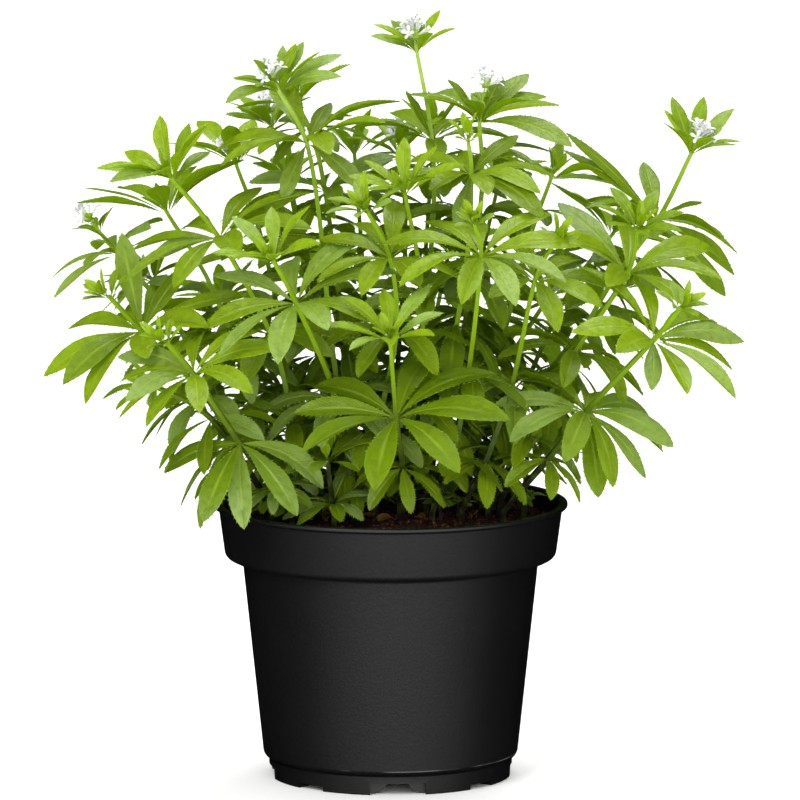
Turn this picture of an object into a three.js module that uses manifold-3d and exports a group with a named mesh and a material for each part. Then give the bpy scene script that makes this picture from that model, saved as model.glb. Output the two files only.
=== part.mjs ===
// A potted sweet woodruff: a black nursery pot filled with soil, and a bush of leafy stems that
// stand in it. Each stem carries whorls of narrow blades, and some end in a head of white florets.
// Millimetres, +Z up. The origin is the middle of the pot's foot, on the ground. -Y is the front.
import * as THREE from 'three';
import { mergeVertices } from 'three/addons/utils/BufferGeometryUtils.js';
import Module from 'manifold-3d';

const wasm = await Module();
wasm.setup();

// Pot, a thin wall with a wide collar at the top and a foot ring with water notches
const RIM_RADIUS = 60;
const RIM_THICKNESS = 1.1;
const POT_HEIGHT = 93.5;
const WALL = 1.2;
const COLLAR_TOP_RADIUS = 58.3;
const COLLAR_FOOT_RADIUS = 56;
const COLLAR_FOOT_HEIGHT = 75;
const COLLAR_CORNER = 0.9;
const BODY_TOP_RADIUS = 50.3;
const BODY_FOOT_RADIUS = 43.2;
const BODY_FOOT_HEIGHT = 8.2;
const BODY_FOOT_STEP = 1.6; // how high the rounded step from the body to the foot ring is
const FOOT_RADIUS = 41.4;
const FOOT_DRAFT = 0.4;
const FOOT_INNER_RADIUS = 35.4;
const FLOOR_UNDERSIDE = 4;
const FLOOR_TOP = 5.4;
const POT_SIDES = 32;
const NOTCHES = 8; // wide and low ones by turns
const NOTCH_TURN = THREE.MathUtils.degToRad(3.7); // how far the first notch stands from the front
const WIDE_NOTCH = { width: 18.8, height: FLOOR_UNDERSIDE };
const LOW_NOTCH = { width: 10.8, height: 1.8 };
const NOTCH_CUT = 12; // the cutter's length through the foot ring
const DRAIN_RADIUS = 4;
const DRAIN_CIRCLE = 29;
const DRAIN_CUT = 8;
const DRAIN_SIDES = 8;

// Soil, clear of the pot by a small gap, and mounded to the middle
const GAP = 0.3; // between neighbours that touch on the real thing
const SOIL_EDGE_HEIGHT = 87.5;
const SOIL_TOP_HEIGHT = 90.5;
const SOIL_MOUND = [0.6, 0.7]; // shares of the radius and of the mound's rise, between edge and middle
const SOIL_SIDES = 24;
const ROOT_DEPTH = 6; // how deep a stalk stands in its hole below the soil's edge

// Stalks are square, as in all of this plant's family, and thinner to the tip
const STALK_FOOT_RADIUS = 1.55;
const STALK_TIP_RADIUS = 0.95;
const BUD = 2; // the end of a stalk above its last whorl, where it bears no florets
const PEDUNCLE = 4; // the bare end of a stalk, from its last whorl to its florets

// Blades
const BLADE_WIDTH_SHARE = 0.138; // half of the width, as a share of the length
const BLADE_THICKNESS = 0.9;
const LONG_BLADE = 31; // from this length a blade has two sections, and one below it
const LONG_BLADE_SECTIONS = [0.45, 0.8];
const SHORT_BLADE_SECTIONS = [0.62];
const GUARD = 0.45; // the clear space kept round each blade
const GUARD_START = 0.3; // the share of a blade from which it keeps clear of its own stem too
// The ways that a blade may grow to keep clear, in the order tried: further turn round the stalk
// and further lift, in degrees, and share of the length
const DODGES = [
  [0, 0, 1], [0, 9, 1], [0, -9, 1], [9, 0, 1], [-9, 0, 1], [0, 18, 1], [0, -18, 1],
  [9, 12, 1], [-9, 12, 1], [9, -12, 1], [-9, -12, 1], [0, 27, 1], [0, -27, 1],
  [14, 20, 0.9], [-14, 20, 0.9], [14, -20, 0.9], [-14, -20, 0.9], [0, 38, 0.9], [0, -36, 0.9],
  [0, 0, 0.75], [0, 14, 0.75], [0, -14, 0.75], [14, 0, 0.75], [-14, 0, 0.75],
  [0, 30, 0.7], [0, -28, 0.7], [0, 48, 0.8], [0, 0, 0.55], [0, 25, 0.55], [0, -25, 0.55],
];
const UPRIGHT = 0.35; // how far a whorl turns up from its stalk's direction, towards the light
// By the whorl's place below the tip: how the blades rise from its plane, and how much they sag
const HABITS = [
  { lift: 34, droop: 0.1 },
  { lift: 10, droop: 0.34 },
  { lift: 0, droop: 0.5 },
];

// Florets, a head of stars on a small core
const FLORETS = 4;
const FLORET_RADIUS = 2.5;
const FLORET_TUBE = 4.4;
const FLORET_LEAN = [54, 64]; // of those round the middle one, in degrees
const PETALS = 4;
const PETAL_GAP_SHARE = 0.32; // the star's inner radius as a share of its outer one
const PETAL_RISE = 0.9;
const CORE = [[0, 0.8], [2.2, 1.7], [3.8, 0.9]]; // heights and radii
const CORE_SIDES = 5;
const FLORET_START = 1.6; // the height in the core from which the florets grow

// Each stem: where it leaves the soil, and its whorls from the lowest to the highest, each as
// [x, y, z, blade length, number of blades, turn of the first blade, and any further lift of its
// blades, both in degrees].
const STEMS = [
  { name: 'front_middle', root: [3, -20],
    whorls: [[4, -31, 110, 21, 7, 20, -18], [2, -54, 130, 38, 8, -11], [0, -78, 159, 23, 8, 6, -6]] },
  { name: 'front_left', root: [-12, -16],
    whorls: [[-18, -25, 132, 30, 7, 0], [-31, -58, 169, 36, 9, 17], [-38, -70, 184, 22, 7, 30]] },
  { name: 'middle_right', root: [14, -17],
    whorls: [[21, -24, 113, 22, 5, 40], [26, -30, 141, 29, 7, 12], [30, -62, 185, 33, 9, 12],
      [28, -70, 196, 9, 5, 0]] },
  { name: 'front_right_low', root: [38, -18],
    whorls: [[53, -25, 112, 20, 6, 40, -20], [65, -40, 130, 33, 9, -32], [87, -60, 157, 35, 8, 14],
      [95, -67, 168, 11, 6, 0]] },
  { name: 'front_left_low', root: [-33, -25],
    whorls: [[-50, -44, 120, 33, 8, 41, -28], [-65, -63, 146, 31, 9, 1, -4], [-73, -71, 157, 10, 5, 0]] },
  { name: 'left', root: [-42, -3],
    whorls: [[-50, -6, 108, 20, 5, 40, -15], [-62, -13, 131, 28, 7, 30, -8], [-83, -25, 155, 38, 8, 8],
      [-93, -33, 167, 12, 5, 0]] },
  { name: 'left_light', root: [-29, -11],
    whorls: [[-33, -14, 122, 27, 6, 25, -10], [-40, -19, 153, 32, 7, 0], [-57, -30, 187, 35, 8, 20],
      [-72, -41, 208, 25, 8, -4]] },
  { name: 'middle_light', root: [4, -8],
    whorls: [[8, -15, 128, 26, 6, 10, -5], [11, -24, 166, 28, 6, 30], [5, -45, 203, 22, 8, 0]] },
  { name: 'middle_front', root: [-5, -11],
    whorls: [[-4, -20, 122, 25, 6, 15, -10], [2, -34, 156, 28, 6, 60], [0, -49, 183, 29, 8, 20],
      [-7, -60, 199, 17, 7, 0]] },
  { name: 'right_of_middle', root: [24, -14],
    whorls: [[32, -19, 110, 22, 6, 30, -15], [41, -24, 138, 28, 7, 10], [48, -45, 175, 29, 8, 12],
      [54, -53, 188, 9, 5, 0]] },
  { name: 'right_light', root: [33, -8],
    whorls: [[46, -12, 118, 25, 6, 15, -10], [62, -16, 147, 30, 7, 0], [79, -30, 175, 35, 7, -8, 10],
      [82, -38, 190, 19, 7, 20]] },
  { name: 'upper_left_tall', root: [-12, -4], florets: true,
    whorls: [[-20, -8, 150, 30, 6, 0], [-23, -10, 184, 33, 7, 24],
      [-28, -13, 217, 35, 8, 20, 6], [-37, -19, 235, 19, 7, 0]] },
  { name: 'upper_middle', root: [12, -5],
    whorls: [[25, -18, 174, 30, 6, 0, -8], [27, -27, 208, 29, 8, 10],
      [26, -30, 219, 7, 5, 0]] },
  { name: 'tallest', root: [6, 8], florets: true,
    whorls: [[14, 10, 182, 30, 6, 0], [14, 12, 215, 31, 7, 18], [9, 7, 245, 18, 6, -6]] },
  { name: 'top_right_of_middle', root: [16, 4], florets: true,
    whorls: [[30, 4, 189, 29, 6, 10], [30, 2, 222, 29, 8, -6, 18],
      [31, 1, 229, 6, 4, 20]] },
  { name: 'right_flower', root: [37, 2], florets: true,
    whorls: [[70, 4, 160, 28, 6, 0], [90, 8, 188, 30, 7, 5], [101, 3, 211, 19, 8, 12]] },
  { name: 'upper_right', root: [25, 4],
    whorls: [[44, 6, 172, 29, 6, 20, -6], [54, 8, 202, 26, 7, 0, -20]] },
  { name: 'left_rear', root: [-33, 1],
    whorls: [[-58, -3, 162, 30, 6, 0], [-75, 3, 191, 34, 7, 10, -12]] },
  { name: 'left_rear_top', root: [-38, 10], florets: true,
    whorls: [[-70, 4, 150, 30, 6, 15], [-92, 6, 177, 30, 7, 0], [-98, 8, 184, 11, 5, 20]] },
  { name: 'upper_left_rear', root: [-26, 16], florets: true,
    whorls: [[-42, 18, 174, 30, 6, 0], [-52, 20, 205, 28, 7, 12]] },
  { name: 'upper_left_back', root: [-18, 10], florets: true,
    whorls: [[-32, 13, 188, 29, 6, 0], [-40, 14, 219, 19, 6, 10]] },
  { name: 'upper_left_fork', root: [-10, 5],
    whorls: [[-22, 9, 198, 29, 6, 40], [-31, 5, 228, 23, 6, 0]] },
  { name: 'top_middle_back', root: [-1, 18], florets: true,
    whorls: [[5, 30, 176, 29, 6, 0], [3, 30, 207, 21, 7, 20]] },
  { name: 'right_back', root: [31, 12],
    whorls: [[57, 19, 156, 29, 6, 0, -6], [75, 24, 181, 29, 7, 15, -16]] },
  { name: 'left_under', root: [-40, -14],
    whorls: [[-60, -28, 126, 26, 7, 0, -16], [-78, -37, 138, 20, 7, 20, -16]] },
  { name: 'low_right', root: [45, -7], whorls: [[46, -13, 110, 14, 7, 0, -24]] },
  { name: 'low_front_left', root: [-19, -27], whorls: [[-21, -34, 112, 20, 7, 0, -22]] },
];

// The rear of the bush, which no photograph shows, is filled by a rule: stems in an outer row that
// leans out and an inner row that stands up, spread evenly by angle
const REAR_ROWS = [
  { count: 6, from: 16, to: 168, rootRadius: 36, reach: 44, height: 72, whorls: 3, blade: 29 },
  { count: 4, from: 33, to: 140, rootRadius: 25, reach: 20, height: 114, whorls: 2, blade: 28 },
];
const REAR_BLADES = 6; // in each whorl
const REAR_TIP_SHARE = 0.7; // the length of the topmost blades as a share of the others'

// Where the draws for the rear stems and for the florets start
const REAR_SEED = 100;
const ROW_SEED = 20;
const FLORET_SEED = 500;

const radians = THREE.MathUtils.degToRad;
const UP = new THREE.Vector3(0, 0, 1);

// The same draws each run: a minimal standard generator, started anew for each stem
function drawsOf(seed) {
  let state = 7919 * (seed + 1);
  return (low, high) => {
    state = (state * 16807) % 2147483647;
    return low + (high - low) * state / 2147483647;
  };
}

// A closed mesh through rings of points, each counter-clockwise seen from the next ring.
// The first and the last ring may be a single point.
function loft(rings) {
  const points = rings.flat();
  const faces = [];
  const sides = Math.max(...rings.map((ring) => ring.length));
  let start = 0;
  for (let k = 0; k + 1 < rings.length; k += 1) {
    const next = start + rings[k].length;
    const low = (i) => start + (rings[k].length > 1 ? i % sides : 0);
    const high = (i) => next + (rings[k + 1].length > 1 ? i % sides : 0);
    for (let i = 0; i < sides; i += 1) {
      if (rings[k].length > 1) faces.push(low(i), low(i + 1), high(i + 1));
      if (rings[k + 1].length > 1) faces.push(low(i), high(i + 1), high(i));
    }
    start = next;
  }
  for (let i = 1; i + 1 < sides; i += 1) {
    if (rings[0].length > 1) faces.push(0, i + 1, i);
    if (rings.at(-1).length > 1) faces.push(start, start + i, start + i + 1);
  }
  return new THREE.BufferGeometry().setFromPoints(points).setIndex(faces);
}

function toSolid(geometry) {
  const bare = geometry.clone();
  bare.deleteAttribute('normal');
  bare.deleteAttribute('uv');
  const merged = mergeVertices(bare, 1e-4);
  return new wasm.Manifold(new wasm.Mesh({
    numProp: 3,
    vertProperties: merged.attributes.position.array,
    triVerts: new Uint32Array(merged.index.array),
  }));
}

function toMesh(name, solid, material) {
  const { vertProperties, triVerts } = solid.getMesh();
  const geometry = new THREE.BufferGeometry();
  geometry.setAttribute('position', new THREE.BufferAttribute(vertProperties, 3));
  geometry.setIndex(new THREE.BufferAttribute(triVerts, 1));
  geometry.computeVertexNormals();
  const mesh = new THREE.Mesh(geometry, material);
  mesh.name = name;
  return mesh;
}

// A profile of [radius, height] points turned about the Z axis
function turned(profile, sides) {
  const points = profile.map(([radius, height]) => new THREE.Vector2(radius, height));
  return toSolid(new THREE.LatheGeometry(points, sides).rotateX(Math.PI / 2));
}

function pot() {
  const shell = turned([
    [FOOT_INNER_RADIUS, 0],
    [FOOT_RADIUS - FOOT_DRAFT, 0],
    [FOOT_RADIUS, BODY_FOOT_HEIGHT - BODY_FOOT_STEP],
    [BODY_FOOT_RADIUS, BODY_FOOT_HEIGHT],
    [BODY_TOP_RADIUS, COLLAR_FOOT_HEIGHT],
    [COLLAR_FOOT_RADIUS - COLLAR_CORNER, COLLAR_FOOT_HEIGHT],
    [COLLAR_FOOT_RADIUS, COLLAR_FOOT_HEIGHT + COLLAR_CORNER],
    [COLLAR_TOP_RADIUS, POT_HEIGHT - RIM_THICKNESS],
    [RIM_RADIUS, POT_HEIGHT - RIM_THICKNESS],
    [RIM_RADIUS, POT_HEIGHT],
    [COLLAR_TOP_RADIUS - WALL, POT_HEIGHT],
    [COLLAR_FOOT_RADIUS - WALL, COLLAR_FOOT_HEIGHT + WALL],
    [BODY_TOP_RADIUS - WALL, COLLAR_FOOT_HEIGHT + WALL],
    [BODY_FOOT_RADIUS - WALL, BODY_FOOT_HEIGHT],
    [FOOT_RADIUS - WALL, FLOOR_TOP],
    [0, FLOOR_TOP],
    [0, FLOOR_UNDERSIDE],
    [FOOT_INNER_RADIUS, FLOOR_UNDERSIDE],
    [FOOT_INNER_RADIUS, 0],
  ], POT_SIDES);
  const ringMiddle = (FOOT_RADIUS + FOOT_INNER_RADIUS) / 2;
  const cuts = [];
  for (let k = 0; k < NOTCHES; k += 1) {
    const { width, height } = k % 2 ? LOW_NOTCH : WIDE_NOTCH;
    const turn = NOTCH_TURN + 2 * Math.PI * k / NOTCHES;
    cuts.push(toSolid(new THREE.BoxGeometry(width, NOTCH_CUT, 2 * height)
      .translate(0, -ringMiddle, 0).rotateZ(turn)));
    if (k % 2 === 0) {
      cuts.push(toSolid(new THREE.CylinderGeometry(DRAIN_RADIUS, DRAIN_RADIUS, DRAIN_CUT, DRAIN_SIDES)
        .rotateX(Math.PI / 2).translate(0, -DRAIN_CIRCLE, FLOOR_TOP).rotateZ(turn)));
    }
  }
  return shell.subtract(wasm.Manifold.union(cuts));
}

function soilBody() {
  const edge = COLLAR_FOOT_RADIUS - WALL - GAP;
  const rise = (SOIL_EDGE_HEIGHT - COLLAR_FOOT_HEIGHT) / (POT_HEIGHT - COLLAR_FOOT_HEIGHT);
  const edgeTop = edge + rise * (COLLAR_TOP_RADIUS - COLLAR_FOOT_RADIUS);
  const [moundRadius, moundRise] = SOIL_MOUND;
  return turned([
    [0, FLOOR_TOP + GAP],
    [FOOT_RADIUS - WALL - 2 * GAP, FLOOR_TOP + GAP],
    [BODY_FOOT_RADIUS - WALL - 2 * GAP, BODY_FOOT_HEIGHT + GAP],
    [BODY_TOP_RADIUS - WALL - 2 * GAP, COLLAR_FOOT_HEIGHT + WALL + GAP],
    [edge - GAP, COLLAR_FOOT_HEIGHT + WALL + 2 * GAP],
    [edgeTop - GAP, SOIL_EDGE_HEIGHT],
    [moundRadius * edgeTop, THREE.MathUtils.lerp(SOIL_EDGE_HEIGHT, SOIL_TOP_HEIGHT, moundRise)],
    [0, SOIL_TOP_HEIGHT],
  ], SOIL_SIDES);
}

// The stems of the rear rows, in the same form as those in the list
function rearStems() {
  return REAR_ROWS.flatMap((row, r) => Array.from({ length: row.count }, (_, k) => {
    const draw = drawsOf(REAR_SEED + ROW_SEED * r + k);
    const angle = radians(row.from + (row.to - row.from) * k / (row.count - 1) + draw(-4, 4));
    const reach = row.reach + draw(-4, 4);
    const height = row.height + draw(-9, 9);
    const place = (radius) => [radius * Math.cos(angle), radius * Math.sin(angle)];
    const whorls = Array.from({ length: row.whorls }, (__, w) => {
      const share = (w + 1) / row.whorls;
      const [x, y] = place(row.rootRadius + reach * share ** 1.4);
      const length = row.blade * (share === 1 ? REAR_TIP_SHARE : 1) * draw(0.92, 1.08);
      return [x, y, SOIL_TOP_HEIGHT + height * share ** 0.8, length, REAR_BLADES, draw(0, 60)];
    });
    return { name: `rear_${r ? 'inner' : 'outer'}_${k + 1}`, root: place(row.rootRadius), whorls };
  }));
}

// The line of a stalk: straight up out of the soil, through its whorls, and on to its bud or florets
function stalkCurve(stem) {
  const [x, y] = stem.root;
  const points = [
    new THREE.Vector3(x, y, SOIL_EDGE_HEIGHT - ROOT_DEPTH),
    new THREE.Vector3(x, y, SOIL_TOP_HEIGHT + 2),
    ...stem.whorls.map(([wx, wy, wz]) => new THREE.Vector3(wx, wy, wz)),
  ];
  const along = points.at(-1).clone().sub(points.at(-2)).normalize();
  points.push(points.at(-1).clone().addScaledVector(along, stem.florets ? PEDUNCLE : BUD));
  return new THREE.CatmullRomCurve3(points, false, 'catmullrom', 0.5);
}

// Two directions square to an axis, the first as near to +X as it can be
function acrossAxis(axis) {
  const first = new THREE.Vector3(1, 0, 0).addScaledVector(axis, -axis.x).normalize();
  return [first, new THREE.Vector3().crossVectors(axis, first)];
}

function stalk(curve, grow = 0) {
  const spans = curve.points.length - 1;
  const steps = [0, 1, 1.5, ...Array.from({ length: spans - 1 }, (_, k) => k + 2)];
  return toSolid(loft(steps.map((step) => {
    const share = step / spans;
    const axis = step <= 1 ? UP : curve.getTangent(share);
    const [side, front] = acrossAxis(axis);
    const radius = THREE.MathUtils.lerp(STALK_FOOT_RADIUS, STALK_TIP_RADIUS, share) + grow;
    const middle = curve.getPoint(share).addScaledVector(axis, step ? 0 : -grow);
    return [45, 135, 225, 315].map((turn) => middle.clone()
      .addScaledVector(side, radius * Math.cos(radians(turn)))
      .addScaledVector(front, radius * Math.sin(radians(turn))));
  })));
}

// The ways that each blade of a whorl may grow: its root on the stalk's line, the directions in
// which it leaves and ends, its upper side, its length and its half width
function bladesOf(curve, stem, index, draw) {
  const spans = curve.points.length - 1;
  const share = (index + 2) / spans;
  const [, , , length, count, turn, further = 0] = stem.whorls[index];
  const habit = HABITS[Math.min(stem.whorls.length - 1 - index, HABITS.length - 1)];
  const root = curve.getPoint(share);
  const axis = curve.getTangent(share).lerp(UP, UPRIGHT).normalize();
  const [side, front] = acrossAxis(axis);
  return Array.from({ length: count }, (_, k) => {
    const around = turn + 360 * k / count + draw(-5, 5);
    const lift = habit.lift + further + draw(-8, 8);
    const droop = habit.droop + draw(-0.1, 0.16);
    const roll = radians(draw(-16, 16));
    const reach = length * draw(0.9, 1.06);
    const halfWidth = reach * BLADE_WIDTH_SHARE * draw(0.9, 1.1);
    return DODGES.map(([furtherTurn, furtherLift, shorter]) => {
      const angle = radians(around + furtherTurn);
      const rise = radians(lift + furtherLift);
      const outward = side.clone().multiplyScalar(Math.cos(angle)).addScaledVector(front, Math.sin(angle));
      const leaves = outward.clone().multiplyScalar(Math.cos(rise)).addScaledVector(axis, Math.sin(rise));
      const upper = outward.clone().multiplyScalar(-Math.sin(rise)).addScaledVector(axis, Math.cos(rise))
        .applyAxisAngle(leaves, roll);
      const ends = leaves.clone().addScaledVector(UP, -droop).normalize();
      return { root, leaves, ends, upper, length: reach * shorter, halfWidth: halfWidth * shorter };
    });
  });
}

// The blade's outline: narrow at the root, widest past the middle, and pointed
const widthAt = (s) => Math.sin(Math.PI * s ** 1.4) ** 0.75;

// The blade as a solid of three-sided sections. A guard is the same blade, grown, from a share on.
function blade(grown, from = 0, grow = 0) {
  const half = grown.length / 2;
  const bend = grown.root.clone().addScaledVector(grown.leaves, half);
  const tip = bend.clone().addScaledVector(grown.ends, half);
  const line = new THREE.QuadraticBezierCurve3(grown.root, bend, tip);
  const shares = grown.length < LONG_BLADE ? SHORT_BLADE_SECTIONS : LONG_BLADE_SECTIONS;
  const sections = shares.map((s) => {
    const along = line.getTangent(s);
    const upper = grown.upper.clone().addScaledVector(along, -grown.upper.dot(along)).normalize();
    const side = new THREE.Vector3().crossVectors(upper, along);
    const width = grown.halfWidth * widthAt(s) + grow;
    const rise = BLADE_THICKNESS / 2 + grow;
    return [[width, rise], [-width, rise], [0, -rise]].map(([across, up]) => line.getPoint(s)
      .addScaledVector(side, across).addScaledVector(upper, up));
  });
  return toSolid(loft([[line.getPoint(from)], ...sections, [tip.addScaledVector(grown.ends, grow)]]));
}

// A head of florets: white stars of four petals that stand out of a small core
function floretHead(curve, stemIndex) {
  const draw = drawsOf(FLORET_SEED + stemIndex);
  const axis = curve.getTangent(1);
  const foot = curve.getPoint(1).addScaledVector(axis, GAP);
  const [side, front] = acrossAxis(axis);
  const ring = ([height, radius]) => Array.from({ length: CORE_SIDES }, (_, k) => foot.clone()
    .addScaledVector(axis, height)
    .addScaledVector(side, radius * Math.cos(2 * Math.PI * k / CORE_SIDES))
    .addScaledVector(front, radius * Math.sin(2 * Math.PI * k / CORE_SIDES)));
  const core = toSolid(loft(CORE.map(ring)));
  const stars = Array.from({ length: FLORETS }, (_, k) => {
    const lean = k ? radians(draw(...FLORET_LEAN)) : 0;
    const angle = radians(360 * k / (FLORETS - 1) + draw(-12, 12));
    const aim = axis.clone().multiplyScalar(Math.cos(lean))
      .addScaledVector(side, Math.sin(lean) * Math.cos(angle))
      .addScaledVector(front, Math.sin(lean) * Math.sin(angle)).normalize();
    const [right, ahead] = acrossAxis(aim);
    const start = foot.clone().addScaledVector(axis, FLORET_START);
    const mouth = start.clone().addScaledVector(aim, FLORET_TUBE);
    const spin = draw(0, 90);
    const star = Array.from({ length: 2 * PETALS }, (__, p) => {
      const radius = FLORET_RADIUS * (p % 2 ? PETAL_GAP_SHARE : 1);
      const turn = radians(180 * p / PETALS + spin);
      return mouth.clone().addScaledVector(aim, p % 2 ? 0 : PETAL_RISE)
        .addScaledVector(right, radius * Math.cos(turn)).addScaledVector(ahead, radius * Math.sin(turn));
    });
    return toSolid(loft([[start], star, [mouth.clone().addScaledVector(aim, PETAL_RISE / 2)]]));
  });
  return wasm.Manifold.union([core, ...stars]);
}

const materials = {
  pot: new THREE.MeshStandardMaterial({ color: 0x1d1d1e, roughness: 0.45, metalness: 0 }),
  soil: new THREE.MeshStandardMaterial({ color: 0x2a1a12, roughness: 1, metalness: 0 }),
  leaf: new THREE.MeshStandardMaterial({ color: 0x5f9427, roughness: 0.55, metalness: 0 }),
  floret: new THREE.MeshStandardMaterial({ color: 0xf6f7f1, roughness: 0.6, metalness: 0 }),
};

// What already stands in the bush, so that each later blade can be kept clear of it
const standing = [];
const NO_STEM = -1;

function boxOf(solid) {
  const { min, max } = solid.boundingBox();
  return new THREE.Box3(new THREE.Vector3(...min), new THREE.Vector3(...max));
}

function stand(stemIndex, solid) {
  standing.push({ stemIndex, solid, box: boxOf(solid) });
}

// Clear of other stems with the whole blade, and of its own stem with all but its root
function isClear(grown, stemIndex) {
  const whole = blade(grown, 0, GUARD);
  const outer = blade(grown, GUARD_START, GUARD);
  const box = boxOf(whole);
  return standing.every((other) => {
    const guard = other.stemIndex === stemIndex ? outer : whole;
    return !other.box.intersectsBox(box) || guard.intersect(other.solid).isEmpty();
  });
}

const stems = [...STEMS, ...rearStems()];
const curves = stems.map(stalkCurve);
const stalks = curves.map((curve) => stalk(curve));
const potSolid = pot();
const soilHoles = wasm.Manifold.union(curves.map((curve) => stalk(curve, GAP)));
const soilSolid = soilBody().subtract(soilHoles);

const plant = new THREE.Group();
plant.add(toMesh('pot', potSolid, materials.pot));
plant.add(toMesh('soil', soilSolid, materials.soil));
stand(NO_STEM, potSolid);
stand(NO_STEM, soilBody());
stalks.forEach((solid, i) => stand(i, solid));
stems.forEach((stem, i) => {
  if (!stem.florets) return;
  const head = floretHead(curves[i], i);
  stand(i, head);
  plant.add(toMesh(`florets_${stem.name}`, head, materials.floret));
});

stems.forEach((stem, i) => {
  const draw = drawsOf(i);
  const parts = [stalks[i]];
  stem.whorls.forEach((_, w) => {
    bladesOf(curves[i], stem, w, draw).forEach((ways) => {
      const grown = ways.find((way) => isClear(way, i));
      if (!grown) return;
      const solid = blade(grown);
      stand(i, solid);
      parts.push(solid);
    });
  });
  plant.add(toMesh(`stem_${stem.name}`, wasm.Manifold.union(parts), materials.leaf));
});

export default plant;
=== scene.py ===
# A potted sweet woodruff in its black nursery pot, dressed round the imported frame.
# Sizes in the sections are in millimetres, and MM turns them to Blender's metres.
import math

import bmesh
import bpy
import numpy as np
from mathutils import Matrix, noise
from mathutils.kdtree import KDTree


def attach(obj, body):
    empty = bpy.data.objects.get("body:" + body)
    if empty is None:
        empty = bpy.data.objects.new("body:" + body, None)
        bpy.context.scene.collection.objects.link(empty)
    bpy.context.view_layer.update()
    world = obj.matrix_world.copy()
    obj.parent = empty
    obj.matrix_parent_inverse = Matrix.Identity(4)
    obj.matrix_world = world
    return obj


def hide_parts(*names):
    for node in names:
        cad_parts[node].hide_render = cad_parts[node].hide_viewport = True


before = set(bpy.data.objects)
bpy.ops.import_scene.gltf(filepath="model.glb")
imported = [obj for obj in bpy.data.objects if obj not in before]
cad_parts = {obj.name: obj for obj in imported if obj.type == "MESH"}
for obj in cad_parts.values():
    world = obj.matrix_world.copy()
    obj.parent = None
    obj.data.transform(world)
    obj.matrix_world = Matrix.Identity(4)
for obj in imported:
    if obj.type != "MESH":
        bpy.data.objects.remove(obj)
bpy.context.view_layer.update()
MM = 0.001

# Studio: a camera a little above the pot's rim, as for a catalogue picture, over a plain pale
# floor. Large softboxes light it from the left, the front and above. The floor and the sky are
# kept out of the gloss, as black flags beside a set would, so that the pot's sides stay dark.
CAMERA_AT = (0.0032, -2.9678, 0.5664)
CAMERA_AIM = (0.0032, 0, 0.1282)
CAMERA_LENS = 399.3
CAMERA_REACH = 60
FLOOR_HALF = 8.0
SOFTBOXES = {  # place, aim, width and height in metres, and power in watts
    "key_softbox": ((-0.75, -1.4, 1.3), (0, 0, 0.15), 0.8, 0.8, 19.5),
    "front_softbox": ((0.35, -2.1, 0.7), (0, 0, 0.13), 1.6, 0.9, 14.3),
    "bounce_card": ((0.06, -0.5, 0.004), (0, 0, 0.09), 1.8, 0.3, 3.4),
    "lit_backdrop": ((0, 2.4, 1.25), (0, 0, 0.2), 3.6, 1.5, 15),
}
# The overhead bank of lamps is one soft sun, which lights the whole backdrop evenly
BANK_AT = (0.25, 0.45, 1.5)
BANK_POWER = 1.85
BANK_SPREAD = math.radians(35)
SKY_POWER = 0.94


def srgb(code):
    """A hex colour as the linear colour that Blender's sockets take."""
    values = (int(code[k : k + 2], 16) / 255 for k in (1, 3, 5))
    return (*(v / 12.92 if v <= 0.04045 else ((v + 0.055) / 1.055) ** 2.4 for v in values), 1.0)


def add_node(tree, kind, inputs=(), output=0, **settings):
    """Adds a node with its settings, and with its inputs set to values or linked from sockets, and
    gives one of its outputs. A list of sockets is linked to one input, and output None gives the
    node itself."""
    node = tree.nodes.new(kind)
    for name, value in settings.items():
        setattr(node, name, value)
    for key, values in inputs.items() if isinstance(inputs, dict) else enumerate(inputs):
        for value in values if isinstance(values, list) else [values]:
            if isinstance(value, bpy.types.NodeSocket):
                tree.links.new(value, node.inputs[key])
            else:
                node.inputs[key].default_value = value
    return node if output is None else node.outputs[output]


def new_material(name):
    """An empty node material and its tree."""
    material = bpy.data.materials.new(name)
    material.use_nodes = True
    material.node_tree.nodes.clear()
    return material, material.node_tree


def look_at(thing, place, aim):
    """Puts a lamp or the camera at a place, turned to its aim."""
    thing.location = place
    away = np.subtract(place, aim)
    turn = math.atan2(away[0], -away[1])
    thing.rotation_euler = (math.atan2(math.hypot(away[0], away[1]), away[2]), 0, turn)


def to_object(name, mesh):
    thing = bpy.data.objects.new(name, mesh)
    bpy.context.scene.collection.objects.link(thing)
    return thing


camera = to_object("camera", bpy.data.cameras.new("camera"))
camera.data.lens = CAMERA_LENS
camera.data.clip_end = CAMERA_REACH
look_at(camera, CAMERA_AT, CAMERA_AIM)
bpy.context.scene.camera = camera
bpy.context.scene.view_settings.view_transform = "Standard"

for name, (place, aim, width, height, power) in SOFTBOXES.items():
    lamp = to_object(name, bpy.data.lights.new(name, "AREA"))
    lamp.data.shape = "RECTANGLE"
    lamp.data.size = width
    lamp.data.size_y = height
    lamp.data.energy = power
    lamp.visible_camera = False
    lamp.visible_glossy = name != "lit_backdrop"
    look_at(lamp, place, aim)

bank = to_object("overhead_bank", bpy.data.lights.new("overhead_bank", "SUN"))
bank.data.energy = BANK_POWER
bank.data.angle = BANK_SPREAD
look_at(bank, BANK_AT, (0, 0, 0))

world = bpy.data.worlds.new("studio")
world.use_nodes = True
sky = world.node_tree.nodes["Background"]
sky.inputs["Color"].default_value = srgb("#ffffff")
sky.inputs["Strength"].default_value = SKY_POWER
world.cycles_visibility.glossy = False
bpy.context.scene.world = world

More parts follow.
